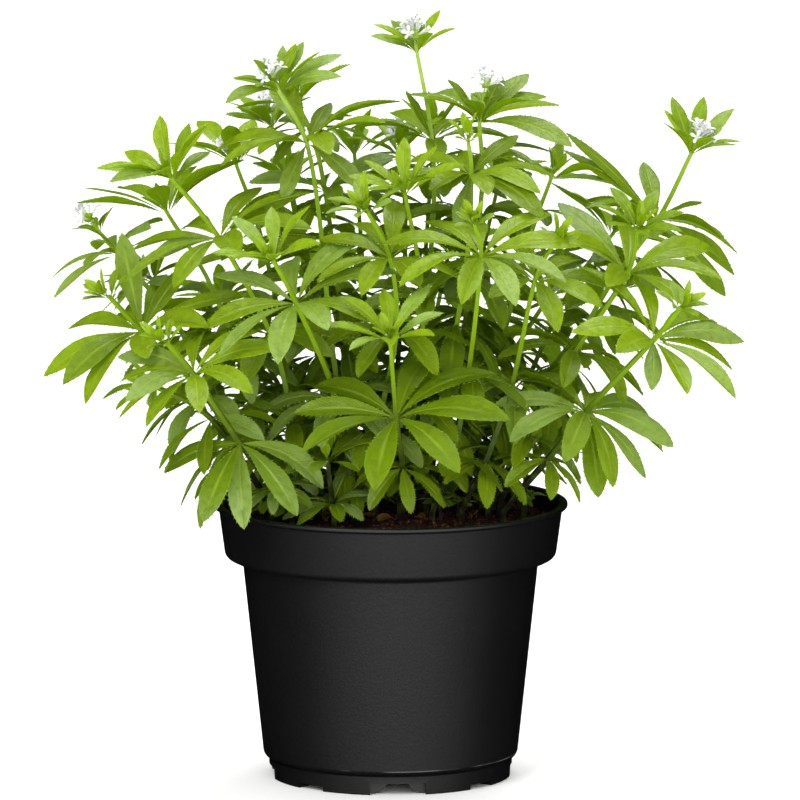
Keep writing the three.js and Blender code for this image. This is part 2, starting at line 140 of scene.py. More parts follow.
floor_mesh = bpy.data.meshes.new("floor")
floor_mesh.from_pydata(
    [(x * FLOOR_HALF, y * FLOOR_HALF, 0) for x, y in ((-1, -1), (1, -1), (1, 1), (-1, 1))],
    [],
    [(0, 1, 2, 3)],
)
floor = to_object("floor", floor_mesh)
paper, tree = new_material("white_backdrop_paper")
matt = add_node(tree, "ShaderNodeBsdfDiffuse", {"Color": srgb("#f6f6f5")})
add_node(tree, "ShaderNodeOutputMaterial", {"Surface": matt}, None)
floor_mesh.materials.append(paper)
floor.visible_glossy = False

# Pot: a 12 cm nursery pot, moulded in black polypropylene. A wide collar runs round its top and
# ends in a thin lip. It stands on a foot ring that is notched for water, wide and low by turns.
POT_PROFILE = [  # radius, height and corner radius, outside upwards and then inside downwards
    (0, 4, 0), (35.4, 4, 0), (35.4, 0, 0.3), (41, 0, 0.5), (41.4, 6.6, 0.4), (42.6, 7.2, 0.3),
    (43.2, 8.2, 0.5), (50.3, 75, 1.6), (56.0, 75, 1.9), (58.3, 92.1, 0.8),
    (60, 92.2, 0.4), (60, 93.5, 0.5), (57.1, 93.5, 0.6), (54.8, 76.2, 1.2), (49.1, 76.2, 1.2),
    (42, 8.2, 0.6), (40.2, 5.4, 0.6), (0, 5.4, 0),
]
POT_STEPS = 160
CORNER_STEPS = 4
NOTCH_TURN = 3.7
NOTCH_END = 44
INNER_WALL = 37.2
WIDE_NOTCH = (18.8, 4.0)
LOW_NOTCH = (10.8, 1.8)
# The inner wall's wide notches are flared: height and half width
FLARED_NOTCH = [(4.0, 3.5), (3.2, 3.6), (2.2, 4.1), (1.3, 4.9), (0.6, 6.0), (0.15, 7.4), (-2, 7.6)]
DRAIN_RADIUS = 4
DRAIN_CIRCLE = 29
DRAIN_STEPS = 32
DRAIN_CUT = (1.4, 9.4)
SHARP_ANGLE = math.radians(32)
# Height of the pale patchy line over the foot ring, partly scuffs and partly a painted glint
SCUFF_AND_GLINT_EDGE = 8.4
# Sizes of the skin's peel, drawn as coarse as it needs to show, of its clouds and of its patches of scuffs
# and painted glint
PEEL, CLOUDS, SCUFF_AND_GLINT_PATCHES = 1.1111, 28.57, 14.29
UP = np.array((0.0, 0.0, 1.0))


def rounded(profile):
    """The profile's points, with an arc in place of each corner that has a radius."""
    points = []
    for k, (r, z, radius) in enumerate(profile):
        corner = np.array((r, z), float)
        if not radius:
            points.append(corner)
            continue
        back = np.array(profile[k - 1][:2]) - corner
        ahead = np.array(profile[k + 1][:2]) - corner
        cut = min(radius, 0.45 * np.linalg.norm(back), 0.45 * np.linalg.norm(ahead))
        start = corner + back / np.linalg.norm(back) * cut
        end = corner + ahead / np.linalg.norm(ahead) * cut
        for step in range(CORNER_STEPS + 1):
            t = step / CORNER_STEPS
            points.append((1 - t) ** 2 * start + 2 * t * (1 - t) * corner + t**2 * end)
    return points


def turned(points, steps):
    """A closed mesh from a profile of radii and heights turned about Z, its ends on the axis."""
    made = bmesh.new()
    rings = []
    for r, z in points:
        count = steps if r > 1e-6 else 1
        turns = [2 * math.pi * k / steps for k in range(count)]
        rings.append([made.verts.new((r * math.cos(a) * MM, r * math.sin(a) * MM, z * MM)) for a in turns])
    for low, high in zip(rings, rings[1:]):
        for k in range(steps):
            a, b = low[k % len(low)], low[(k + 1) % len(low)]
            c, d = high[(k + 1) % len(high)], high[k % len(high)]
            made.faces.new([v for j, v in enumerate((a, b, c, d)) if v not in (a, b, c, d)[:j]])
    return made


def to_mesh(name, made):
    """The mesh of a finished bmesh, smooth but for its sharp edges."""
    mesh = bpy.data.meshes.new(name)
    made.normal_update()
    made.to_mesh(mesh)
    made.free()
    mesh.shade_smooth()
    mesh.set_sharp_from_angle(angle=SHARP_ANGLE)
    return mesh


def finished(name, thing):
    """The evaluated object as a new plain one, in place of the one with live modifiers."""
    graph = bpy.context.evaluated_depsgraph_get()
    mesh = bpy.data.meshes.new_from_object(thing.evaluated_get(graph))
    mesh.name = name
    done = to_object(name, mesh)
    bpy.data.objects.remove(thing)
    return done


def add_prism(made, ends):
    """Adds a closed prism between two outlines with as many points each."""
    near, far = ([made.verts.new(p) for p in end] for end in ends)
    made.faces.new(near[::-1])
    made.faces.new(far)
    bridge(made, near, far)


def bridge(made, low, high):
    """Closes the sides between two rings of corners."""
    count = len(low)
    for k in range(count):
        made.faces.new((low[k], low[(k + 1) % count], high[(k + 1) % count], high[k]))


cutters = bmesh.new()
for k in range(8):
    turn = math.radians(NOTCH_TURN + 45 * k)
    outward = np.array((math.sin(turn), -math.cos(turn), 0))
    across = np.array((math.cos(turn), math.sin(turn), 0))
    width, height = LOW_NOTCH if k % 2 else WIDE_NOTCH
    box = [(-width / 2, -2), (width / 2, -2), (width / 2, height), (-width / 2, height)]
    cuts = [(box, INNER_WALL - 4 if k % 2 else INNER_WALL, NOTCH_END)]
    if k % 2 == 0:
        bell = [(x, z) for z, x in FLARED_NOTCH]
        bell += [(-x, z) for x, z in reversed(bell)]
        cuts.append((bell, INNER_WALL - 4, INNER_WALL + 0.4))
    for outline, near, far in cuts:
        add_prism(cutters, [
            [(outward * r + across * x + UP * z) * MM for x, z in outline] for r in (near, far)
        ])
    if k % 2 == 0:
        turns = [2 * math.pi * j / DRAIN_STEPS for j in range(DRAIN_STEPS)]
        hole = [(DRAIN_RADIUS * math.cos(a), DRAIN_RADIUS * math.sin(a)) for a in turns]
        add_prism(cutters, [
            [(outward * (DRAIN_CIRCLE + y) + across * x + UP * z) * MM for x, y in hole]
            for z in DRAIN_CUT
        ])
bmesh.ops.recalc_face_normals(cutters, faces=cutters.faces)
cutter = to_object("notch_cutters", to_mesh("notch_cutters", cutters))

shell = turned(rounded(POT_PROFILE), POT_STEPS)
bmesh.ops.recalc_face_normals(shell, faces=shell.faces)
blank = to_object("pot_blank", to_mesh("pot_blank", shell))
cut = blank.modifiers.new("notches", "BOOLEAN")
cut.operation = "DIFFERENCE"
cut.solver = "EXACT"
cut.object = cutter
cut.use_self = True
pot = finished("nursery_pot", blank)
bpy.data.objects.remove(cutter)
pot.data.shade_smooth()
pot.data.set_sharp_from_angle(angle=SHARP_ANGLE)

# Black polypropylene, injection moulded: a satin skin with a fine orange-peel bump. It is pale in patches
# along the edge over the foot ring: partly scuffs, partly a painted glint, a highlight painted into the
# colour.
plastic, tree = new_material("moulded_black_polypropylene")
place = add_node(tree, "ShaderNodeTexCoord", output="Object")
peel, cloud, scuff_and_glint_noise = (
    add_node(tree, "ShaderNodeTexNoise", {
        "Vector": place, "Scale": 1 / (size * MM), "Detail": detail,
    }, "Fac")
    for size, detail in ((PEEL, 2.0), (CLOUDS, 3.0), (SCUFF_AND_GLINT_PATCHES, 2.0))
)
height = add_node(tree, "ShaderNodeSeparateXYZ", (place,), "Z")
# Painted glint, with the scuffs: pale patches in a thin band along the edge over the foot ring
above_edge = add_node(tree, "ShaderNodeMath", (height, SCUFF_AND_GLINT_EDGE * MM), operation="SUBTRACT")
from_edge = add_node(tree, "ShaderNodeMath", (above_edge,), operation="ABSOLUTE")
on_edge = add_node(tree, "ShaderNodeMapRange", (from_edge, 0.25 * MM, 0.05 * MM))
patchy = add_node(tree, "ShaderNodeMapRange", (scuff_and_glint_noise, 0.5, 0.64))
scuff_and_glint = add_node(tree, "ShaderNodeMath", (on_edge, patchy), operation="MULTIPLY")
black = add_node(tree, "ShaderNodeMix", {
    0: scuff_and_glint, 6: srgb("#0c0c0d"), 7: srgb("#565653"),
}, 2, data_type="RGBA")
skin = add_node(tree, "ShaderNodeBsdfPrincipled", {
    "Base Color": black, "IOR": 1.49,
    "Roughness": add_node(tree, "ShaderNodeMapRange", (cloud, 0.3, 0.7, 0.42, 0.5)),
    "Normal": add_node(tree, "ShaderNodeBump", {
        "Height": peel, "Strength": 0.12, "Distance": 0.4 * MM,
    }),
})
add_node(tree, "ShaderNodeOutputMaterial", {"Surface": skin}, None)
pot.data.materials.clear()
pot.data.materials.append(plastic)
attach(pot, "root")
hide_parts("pot")

# Soil: dark, loose potting compost, mounded a little to the middle, with crumbs and fibres on it.
# Its top has a real relief, and the crumbs and fibres lie scattered over it.
SOIL_PROFILE = [
    (0, 5.7), (39.6, 5.7), (41.4, 8.5), (48.5, 76.5), (54.2, 76.8), (55.7, 86.6), (54.9, 87.6),
]
SOIL_STEPS = 120
SOIL_RINGS = 26
SOIL_MOUND = [(0, 90.5), (33.6, 89.6), (54.9, 87.6)]
# Above this height the top is rough: how deep, how much of it lies lower, and lumps to a metre
SOIL_EDGE = 86.8
RELIEF = 1.1
SUNK = 0.4
LUMPS = 260
PEAT_GRAIN = 2.381


def soil_height(radius):
    return float(np.interp(radius, *zip(*SOIL_MOUND)))


soil_points = list(SOIL_PROFILE)
for k in range(1, SOIL_RINGS + 1):
    radius = SOIL_PROFILE[-1][0] * (1 - k / SOIL_RINGS)
    soil_points.append((radius, soil_height(radius)))
ground = turned(soil_points, SOIL_STEPS)
for v in ground.verts:
    if v.co.z > SOIL_EDGE * MM:
        fine = noise.fractal(v.co * LUMPS, 1.0, 2.0, 4)
        v.co.z += MM * RELIEF * max(-1.0, min(0.9, fine)) - SUNK * MM
bmesh.ops.recalc_face_normals(ground, faces=ground.faces)
soil = to_object("potting_soil", to_mesh("potting_soil", ground))

# Peat and bark compost: nearly black where damp, with red-brown and tan crumbs, and no gloss
compost, tree = new_material("damp_peat_compost")
place = add_node(tree, "ShaderNodeTexCoord", output="Object")
grain = add_node(tree, "ShaderNodeTexNoise", {
    "Vector": place, "Scale": 1 / (PEAT_GRAIN * MM), "Detail": 6.0, "Roughness": 0.7,
}, "Fac")
crumb_tone = add_node(tree, "ShaderNodeAttribute", output="Fac", attribute_name="tone")
mixed = add_node(tree, "ShaderNodeMath", (grain, crumb_tone), operation="ADD")
brown = add_node(tree, "ShaderNodeValToRGB", (mixed,))
stops = brown.node.color_ramp.elements
browns = ((0.35, "#0c0504"), (0.62, "#3c1c12"), (0.8, "#6c3a20"), (1.0, "#b48c58"))
# A new ramp has two stops already
for k, (position, code) in enumerate(browns):
    stop = stops[k] if k < 2 else stops.new(position)
    stop.position = position
    stop.color = srgb(code)
earth = add_node(tree, "ShaderNodeBsdfPrincipled", {
    "Base Color": brown, "Roughness": 0.95, "IOR": 1.33,
    "Normal": add_node(tree, "ShaderNodeBump", {
        "Height": grain, "Strength": 0.8, "Distance": 1.2 * MM,
    }),
})
add_node(tree, "ShaderNodeOutputMaterial", {"Surface": earth}, None)
soil.data.materials.append(compost)


def new_tree(name, inputs):
    """A Geometry Nodes tree and the sockets of its named inputs, given as (name, kind, value)."""
    tree = bpy.data.node_groups.new(name, "GeometryNodeTree")
    tree.interface.new_socket("Geometry", in_out="INPUT", socket_type="NodeSocketGeometry")
    tree.interface.new_socket("Geometry", in_out="OUTPUT", socket_type="NodeSocketGeometry")
    for label, kind, value in inputs:
        socket = tree.interface.new_socket(label, in_out="INPUT", socket_type=f"NodeSocket{kind}")
        if value is not None:
            socket.default_value = value
    return tree, add_node(tree, "NodeGroupInput", output=None).outputs


def grown(name, base, tree, values):
    """The plain object that a Geometry Nodes tree makes of a base object."""
    sockets = {s.name: s.identifier for s in tree.interface.items_tree if s.in_out == "INPUT"}
    modifier = base.modifiers.new(name, "NODES")
    modifier.node_group = tree
    for label, value in values.items():
        modifier[sockets[label]] = value
    return finished(name, base)


def realised(tree, instances, finish):
    """The real mesh of what a tree has made, in its finish."""
    real = add_node(tree, "GeometryNodeRealizeInstances", (instances,))
    return add_node(tree, "GeometryNodeSetMaterial", {"Geometry": real, "Material": finish})


litter, given = new_tree("crumbs_and_fibres", [
    ("Pieces per square metre", "Float", 150000.0),
    ("Smallest", "Float", 0.5 * MM),
    ("Largest", "Float", 1.9 * MM),
    ("Stretch", "Float", 1.0),
    ("Seed", "Int", 4),
    ("Finish", "Material", None),
])
normal = add_node(litter, "GeometryNodeInputNormal")
upward = add_node(litter, "ShaderNodeSeparateXYZ", (normal,), "Z")
scattered = add_node(litter, "GeometryNodeDistributePointsOnFaces", {
    "Mesh": given["Geometry"], "Density": given["Pieces per square metre"], "Seed": given["Seed"],
    "Selection": add_node(litter, "ShaderNodeMath", (upward, 0.6), operation="GREATER_THAN"),
})
turn = add_node(litter, "FunctionNodeRandomValue", {
    0: (0, 0, 0), 1: (6.3, 6.3, 6.3), 8: 1,
}, data_type="FLOAT_VECTOR")
size, tone = (
    add_node(litter, "FunctionNodeRandomValue", {2: least, 3: most, 8: seed}, 1, data_type="FLOAT")
    for least, most, seed in ((given["Smallest"], given["Largest"], 2), (-0.12, 0.3, 3))
)
flat = add_node(litter, "ShaderNodeMath", (size, 0.7), operation="MULTIPLY")
stretched = add_node(litter, "ShaderNodeMath", (size, given["Stretch"]), operation="MULTIPLY")
lumps = add_node(litter, "GeometryNodeInstanceOnPoints", {
    "Points": scattered,
    "Instance": add_node(litter, "GeometryNodeMeshIcoSphere", {"Radius": 0.5, "Subdivisions": 1}),
    "Rotation": add_node(litter, "FunctionNodeEulerToRotation", (turn,)),
    "Scale": add_node(litter, "ShaderNodeCombineXYZ", (size, flat, stretched)),
})
toned = add_node(litter, "GeometryNodeStoreNamedAttribute", {
    "Geometry": lumps, "Name": "tone", "Value": tone,
}, data_type="FLOAT", domain="INSTANCE")
add_node(litter, "NodeGroupOutput", (realised(litter, toned, given["Finish"]),), None)

crumbs = grown("soil_crumbs", to_object("crumb_ground", soil.data.copy()), litter, {
    "Finish": compost,
})
fibres = grown("soil_fibres", to_object("fibre_ground", soil.data.copy()), litter, {
    "Pieces per square metre": 26000.0, "Smallest": 0.22 * MM, "Largest": 0.4 * MM,
    "Stretch": 13.0, "Seed": 9, "Finish": compost,
})
for piece in (soil, crumbs, fibres):
    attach(piece, "root")
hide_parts("soil")

# Leafy stems: square stalks that carry whorls of six to nine narrow blades, each blade a thin
# closed sheet with a sunken midrib and a rough margin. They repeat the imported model's layout, and
# of the ways that a blade may grow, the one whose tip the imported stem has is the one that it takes.
# Each whorl is x, y, z, blade length, blades, first blade's turn and further lift in degrees.
STEMS = {
    "front_middle": ((3, -20), [
        (4, -31, 110, 21, 7, 20, -18), (2, -54, 130, 38, 8, -11), (0, -78, 159, 23, 8, 6, -6)]),
    "front_left": ((-12, -16), [
        (-18, -25, 132, 30, 7, 0), (-31, -58, 169, 36, 9, 17), (-38, -70, 184, 22, 7, 30)]),
    "middle_right": ((14, -17), [
        (21, -24, 113, 22, 5, 40), (26, -30, 141, 29, 7, 12), (30, -62, 185, 33, 9, 12),
        (28, -70, 196, 9, 5, 0)]),
    "front_right_low": ((38, -18), [
        (53, -25, 112, 20, 6, 40, -20), (65, -40, 130, 33, 9, -32), (87, -60, 157, 35, 8, 14),
        (95, -67, 168, 11, 6, 0)]),
    "front_left_low": ((-33, -25), [
        (-50, -44, 120, 33, 8, 41, -28), (-65, -63, 146, 31, 9, 1, -4),
        (-73, -71, 157, 10, 5, 0)]),
    "left": ((-42, -3), [
        (-50, -6, 108, 20, 5, 40, -15), (-62, -13, 131, 28, 7, 30, -8), (-83, -25, 155, 38, 8, 8),
        (-93, -33, 167, 12, 5, 0)]),
    "left_light": ((-29, -11), [
        (-33, -14, 122, 27, 6, 25, -10), (-40, -19, 153, 32, 7, 0), (-57, -30, 187, 35, 8, 20),
        (-72, -41, 208, 25, 8, -4)]),
    "middle_light": ((4, -8), [
        (8, -15, 128, 26, 6, 10, -5), (11, -24, 166, 28, 6, 30), (5, -45, 203, 22, 8, 0)]),
    "middle_front": ((-5, -11), [
        (-4, -20, 122, 25, 6, 15, -10), (2, -34, 156, 28, 6, 60), (0, -49, 183, 29, 8, 20),
        (-7, -60, 199, 17, 7, 0)]),
    "right_of_middle": ((24, -14), [
        (32, -19, 110, 22, 6, 30, -15), (41, -24, 138, 28, 7, 10), (48, -45, 175, 29, 8, 12),
        (54, -53, 188, 9, 5, 0)]),
    "right_light": ((33, -8), [
        (46, -12, 118, 25, 6, 15, -10), (62, -16, 147, 30, 7, 0), (79, -30, 175, 35, 7, -8, 10),
        (82, -38, 190, 19, 7, 20)]),
    "upper_left_tall": ((-12, -4), [
        (-20, -8, 150, 30, 6, 0), (-23, -10, 184, 33, 7, 24), (-28, -13, 217, 35, 8, 20, 6),
        (-37, -19, 235, 19, 7, 0)]),
    "upper_middle": ((12, -5), [
        (25, -18, 174, 30, 6, 0, -8), (27, -27, 208, 29, 8, 10), (26, -30, 219, 7, 5, 0)]),
    "tallest": ((6, 8), [
        (14, 10, 182, 30, 6, 0), (14, 12, 215, 31, 7, 18), (9, 7, 245, 18, 6, -6)]),
    "top_right_of_middle": ((16, 4), [
        (30, 4, 189, 29, 6, 10), (30, 2, 222, 29, 8, -6, 18), (31, 1, 229, 6, 4, 20)]),
    "right_flower": ((37, 2), [
        (70, 4, 160, 28, 6, 0), (90, 8, 188, 30, 7, 5), (101, 3, 211, 19, 8, 12)]),
    "upper_right": ((25, 4), [(44, 6, 172, 29, 6, 20, -6), (54, 8, 202, 26, 7, 0, -20)]),
    "left_rear": ((-33, 1), [(-58, -3, 162, 30, 6, 0), (-75, 3, 191, 34, 7, 10, -12)]),
    "left_rear_top": ((-38, 10), [
        (-70, 4, 150, 30, 6, 15), (-92, 6, 177, 30, 7, 0), (-98, 8, 184, 11, 5, 20)]),
    "upper_left_rear": ((-26, 16), [(-42, 18, 174, 30, 6, 0), (-52, 20, 205, 28, 7, 12)]),
    "upper_left_back": ((-18, 10), [(-32, 13, 188, 29, 6, 0), (-40, 14, 219, 19, 6, 10)]),
    "upper_left_fork": ((-10, 5), [(-22, 9, 198, 29, 6, 40), (-31, 5, 228, 23, 6, 0)]),
    "top_middle_back": ((-1, 18), [(5, 30, 176, 29, 6, 0), (3, 30, 207, 21, 7, 20)]),
    "right_back": ((31, 12), [(57, 19, 156, 29, 6, 0, -6), (75, 24, 181, 29, 7, 15, -16)]),
    "left_under": ((-40, -14), [(-60, -28, 126, 26, 7, 0, -16), (-78, -37, 138, 20, 7, 20, -16)]),
    "low_right": ((45, -7), [(46, -13, 110, 14, 7, 0, -24)]),
    "low_front_left": ((-19, -27), [(-21, -34, 112, 20, 7, 0, -22)]),
}
FLOWERING = (
    "upper_left_tall", "tallest", "top_right_of_middle", "right_flower", "left_rear_top",
    "upper_left_rear", "upper_left_back", "top_middle_back",
)
# Rows behind: name, stems, first and last angle, root radius, reach, height, whorls, blade length
REAR_ROWS = (
    ("rear_outer", 6, 16, 168, 36, 44, 72, 3, 29), ("rear_inner", 4, 33, 140, 25, 20, 114, 2, 28),
)
SOIL_TOP = 90.5
STALK_ROOT = 81.5
# How far a stalk goes on over its last whorl, without a flower head and with one
BUD = 2
PEDUNCLE = 4
STALK_RADII = (1.45, 0.72)
UPRIGHT = 0.35
# Lift and droop of the blades: of the topmost whorl, of the next, and of those below
HABITS = ((34, 0.1), (10, 0.34), (0, 0.5))
# Further turn, further lift and share of the length of the ways that a blade may grow
WAYS = (
    (0, 0, 1), (0, 9, 1), (0, -9, 1), (9, 0, 1), (-9, 0, 1), (0, 18, 1), (0, -18, 1),
    (9, 12, 1), (-9, 12, 1), (9, -12, 1), (-9, -12, 1), (0, 27, 1), (0, -27, 1),
    (14, 20, 0.9), (-14, 20, 0.9), (14, -20, 0.9), (-14, -20, 0.9), (0, 38, 0.9), (0, -36, 0.9),
    (0, 0, 0.75), (0, 14, 0.75), (0, -14, 0.75), (14, 0, 0.75), (-14, 0, 0.75),
    (0, 30, 0.7), (0, -28, 0.7), (0, 48, 0.8), (0, 0, 0.55), (0, 25, 0.55), (0, -25, 0.55),
)
BLADE_WIDTH_SHARE = 0.138
BLADE_STATIONS = (0, 0.05, 0.11, 0.19, 0.29, 0.4, 0.51, 0.62, 0.73, 0.83, 0.91, 0.965, 1)
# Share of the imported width, and how pointed the ends are: of the topmost whorl, of the next, and of
# those below
WIDTHS = (0.85, 0.94, 0.98)
TAPERS = (1.0, 0.85, 0.75)
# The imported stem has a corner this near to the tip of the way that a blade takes
SAME_TIP = 0.05
# Ages of the imported blades and of the further ones: of the topmost whorl, of the next, and of
# those below. A packed blade is older below this height and younger above it: height and span. The
# further blades are older, so darker, than imported ones at the same place: painted shade for blades
# that lie deep in the bush.
AGES = (0.1, 0.4, 0.68)
FURTHER_SHADED_AGES = (0.3, 0.7, 0.9)
AGE_HEIGHT, AGE_SPAN = 170, 260
# The blades of a whorl are alike in tone, drawn from this seed
WHORL_TONES = 592


def draws_of(seed):
    """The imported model's own draws, started anew for each stem."""
    state = 7919 * (seed + 1)

    def draw(low, high):
        nonlocal state
        state = state * 16807 % 2147483647
        return low + (high - low) * state / 2147483647

    return draw


def unit(v):
    return v / np.linalg.norm(v)


def across_axis(axis):
    """Two directions square to an axis, the first as near to +X as it can be."""
    first = unit(np.array((1.0, 0.0, 0.0)) - axis * axis[0])
    return first, np.cross(axis, first)


def point_on(points, share):
    """A point of the smooth curve through points, at a share of its spans."""
    last = len(points) - 1
    place = min(max(share, 0.0), 1.0) * last
    k = min(int(place), last - 1)
    t = place - k
    before = points[k - 1] if k else 2 * points[0] - points[1]
    after = points[k + 2] if k + 2 <= last else 2 * points[last] - points[last - 1]
    low, high = points[k], points[k + 1]
    start, end = 0.5 * (high - before), 0.5 * (after - low)
    bend = -3 * low + 3 * high - 2 * start - end
    return low + start * t + bend * t**2 + (2 * low - 2 * high + start + end) * t**3


def tangent_on(points, share):
    step = 0.0001
    return unit(point_on(points, min(share + step, 1)) - point_on(points, max(share - step, 0)))


def rear_stems():
    """The stems of the rows behind, spread evenly by angle."""
    for row, (name, count, first, last, root_radius, reach, rise, whorls, blade) in enumerate(REAR_ROWS):
        for k in range(count):
            draw = draws_of(100 + 20 * row + k)
            angle = math.radians(first + (last - first) * k / (count - 1) + draw(-4, 4))
            own_reach = reach + draw(-4, 4)
            own_rise = rise + draw(-9, 9)
            outward = np.array((math.cos(angle), math.sin(angle)))
            made = []
            for w in range(whorls):
                share = (w + 1) / whorls
                x, y = outward * (root_radius + own_reach * share**1.4)
                length = blade * (0.7 if share == 1 else 1) * draw(0.92, 1.08)
                made.append((x, y, SOIL_TOP + own_rise * share**0.8, length, 6, draw(0, 60)))
            yield f"{name}_{k + 1}", (tuple(outward * root_radius), made)


def stalk_points(root, whorls, beyond):
    """The points of a stalk's line: up out of the soil, through its whorls and a little on."""
    points = [np.array((*root, STALK_ROOT)), np.array((*root, SOIL_TOP + 2))]
    points += [np.array(whorl[:3], float) for whorl in whorls]
    return points + [points[-1] + unit(points[-1] - points[-2]) * beyond]


def turned_about(v, axis, angle):
    return (
        v * math.cos(angle) + np.cross(axis, v) * math.sin(angle)
        + axis * np.dot(axis, v) * (1 - math.cos(angle))
    )


def blade_ways(root, axis, length, count, turn, lift, droop, draw):
    """For each blade of a whorl, the ways that it may grow: root, direction in which it leaves,
    direction in which it ends, upper side, length and half width."""
    side, front = across_axis(axis)
    for k in range(count):
        around = turn + 360 * k / count + draw(-5, 5)
        rise = lift + draw(-8, 8)
        sag = droop + draw(-0.1, 0.16)
        roll = math.radians(draw(-16, 16))
        reach = length * draw(0.9, 1.06)
        half_width = reach * BLADE_WIDTH_SHARE * draw(0.9, 1.1)
        ways = []
        for further_turn, further_lift, shorter in WAYS:
            a, r = math.radians(around + further_turn), math.radians(rise + further_lift)
            outward = side * math.cos(a) + front * math.sin(a)
            leaves = outward * math.cos(r) + axis * math.sin(r)
            upper = turned_about(axis * math.cos(r) - outward * math.sin(r), leaves, roll)
            ends = unit(leaves - UP * sag)
            ways.append((root, leaves, ends, upper, reach * shorter, half_width * shorter))
        yield ways


def tip_of(way):
    root, leaves, ends, _, length, _ = way
    return root + (leaves + ends) * length / 2


def store(mesh, key, values):
    """Writes numbers or directions on a mesh's points, for its tree and its material to read."""
    values = np.array(values, np.float32)
    kind, field = ("FLOAT_VECTOR", "vector") if values.ndim == 2 else ("FLOAT", "value")
    mesh.attributes.new(key, kind, "POINT").data.foreach_set(field, values.ravel())


class Strands:
    """The lines that the stem tree sweeps, with the numbers that each point carries."""

    NUMBERS = ("half_width", "along", "tone", "age", "fold", "is_stalk")

    def __init__(self):
        self.points, self.uppers, self.edges = [], [], []
        self.values = {key: [] for key in self.NUMBERS}

    def add(self, points, uppers, **values):
        start = len(self.points)
        self.points += list(points)
        self.uppers += list(uppers)
        self.edges += [(start + k, start + k + 1) for k in range(len(points) - 1)]
        for key in self.NUMBERS:
            value = values.get(key, 0.0)
            self.values[key] += list(value) if np.ndim(value) else [float(value)] * len(points)

    def as_object(self, name):
        mesh = bpy.data.meshes.new(name)
        mesh.from_pydata(np.array(self.points) * MM, self.edges, [])
        store(mesh, "upper", self.uppers)
        for key, numbers in self.values.items():
            store(mesh, key, numbers)
        return to_object(name, mesh)


def add_blade(strands, way, tone, age, fold, arch=0.07, width=0.95, taper=0.75):
    """Adds the line of a blade to strands, arched up by a share of its length."""
    root, leaves, ends, upper, length, half_width = way
    bend = root + leaves * length / 2
    tip = bend + ends * length / 2
    points, uppers, widths = [], [], []
    for s in BLADE_STATIONS:
        hump = arch * length * math.sin(math.pi * s) * (1.15 - 0.3 * s)
        points.append((1 - s) ** 2 * root + 2 * s * (1 - s) * bend + s**2 * tip + upper * hump)
        slope = upper * arch * length * math.pi * math.cos(math.pi * s)
        along = unit(2 * (1 - s) * (bend - root) + 2 * s * (tip - bend) + slope)
        uppers.append(unit(upper - along * np.dot(upper, along)))
        widths.append(width * half_width * MM * max(math.sin(math.pi * s**1.55), 0) ** taper)
    strands.add(
        points, uppers, half_width=widths, along=BLADE_STATIONS, tone=tone, age=age, fold=fold
    )


def add_stalk(strands, points):
    """Adds a stalk's line to strands, with few points where it stands in the soil."""
    spans = len(points) - 1
    shares = np.concatenate(([0], np.linspace(1 / spans, 1, 5 * (spans - 1) + 1)))
    line = [point_on(points, s) for s in shares]
    sides = [across_axis(UP if s * spans <= 1 else tangent_on(points, s))[0] for s in shares]
    radii = [MM * (STALK_RADII[0] + (STALK_RADII[1] - STALK_RADII[0]) * s) for s in shares]
    strands.add(line, sides, half_width=radii, is_stalk=1.0)


# Leaf blade: a soft herb leaf with a satin skin, a pale sunken midrib and faint side veins. A pale
# veil on its upper side is a painted sheen, which stands in for the reflection of the bright
# surroundings. Light from behind glows through it, yellow-green. Young leaves are the lightest, old
# ones are dark, and dead ones brown; the old, dark colour also serves as painted shade deep in the bush.
blade_finish, tree = new_material("woodruff_leaf_blade")
# Sizes of its mottling and of its cells, which are drawn as coarse as they need to show
MOTTLE, CELLS = 2.381, 0.6667


def zone(tree, *edges):
    """How far a point lies in a zone: the product of smooth changes, each given as a value, where
    it starts and ends and, where they aren't 0 and 1, the shares there."""
    inside = None
    for edge in edges:
        share = add_node(tree, "ShaderNodeMapRange", edge, interpolation_type="SMOOTHSTEP")
        if inside is not None:
            share = add_node(tree, "ShaderNodeMath", (inside, share), operation="MULTIPLY")
        inside = share
    return inside


def painted(tree, colour, layers):
    """A colour with others laid over it in turn, each given as its share, or as one edge of its
    zone, then its strength and its hex value."""
    for inside, strength, code in layers:
        if isinstance(inside, tuple):
            inside = zone(tree, inside)
        share = add_node(tree, "ShaderNodeMath", (inside, strength), operation="MULTIPLY")
        colour = add_node(tree, "ShaderNodeMix", {
            0: share, 6: colour, 7: srgb(code),
        }, 2, data_type="RGBA")
    return colour


place = add_node(tree, "ShaderNodeTexCoord", output="Object")
along, age, tone, across, under = (
    add_node(tree, "ShaderNodeAttribute", output="Fac", attribute_name=name)
    for name in ("along", "age", "tone", "across", "underside")
)
out_from_rib, off_tone = (
    add_node(tree, "ShaderNodeMath", (value,), operation="ABSOLUTE") for value in (across, tone)
)
mottle, cells = (
    add_node(tree, "ShaderNodeTexNoise", {
        "Vector": place, "Scale": 1 / (size * MM), "Detail": detail,
    }, "Fac")
    for size, detail in ((MOTTLE, 4.0), (CELLS, 2.0))
)
rows = add_node(tree, "ShaderNodeMath", (along, 9.0), operation="MULTIPLY")
slant = add_node(tree, "ShaderNodeMath", (out_from_rib, -1.6, rows), operation="MULTIPLY_ADD")
row = add_node(tree, "ShaderNodeMath", (slant,), operation="FRACT")
off_middle = add_node(tree, "ShaderNodeMath", (row, 0.5), operation="SUBTRACT")
from_vein = add_node(tree, "ShaderNodeMath", (off_middle,), operation="ABSOLUTE")
vein = zone(tree, (from_vein, 0.09, 0.0), (out_from_rib, 1.0, 0.5))
rib = zone(tree, (out_from_rib, 0.2, 0.02), (along, 0.95, 0.55))
# Painted sheen: a pale veil over the upper side of blades of middling tone, which stands in for the
# reflection of the bright surroundings
painted_sheen = zone(
    tree, (off_tone, 0.34, 0.1, 0.05, 1.0), (along, 0.1, 0.9, 0.2, 0.52), (under, 0.0, 1.0, 1.0, 0.0)
)
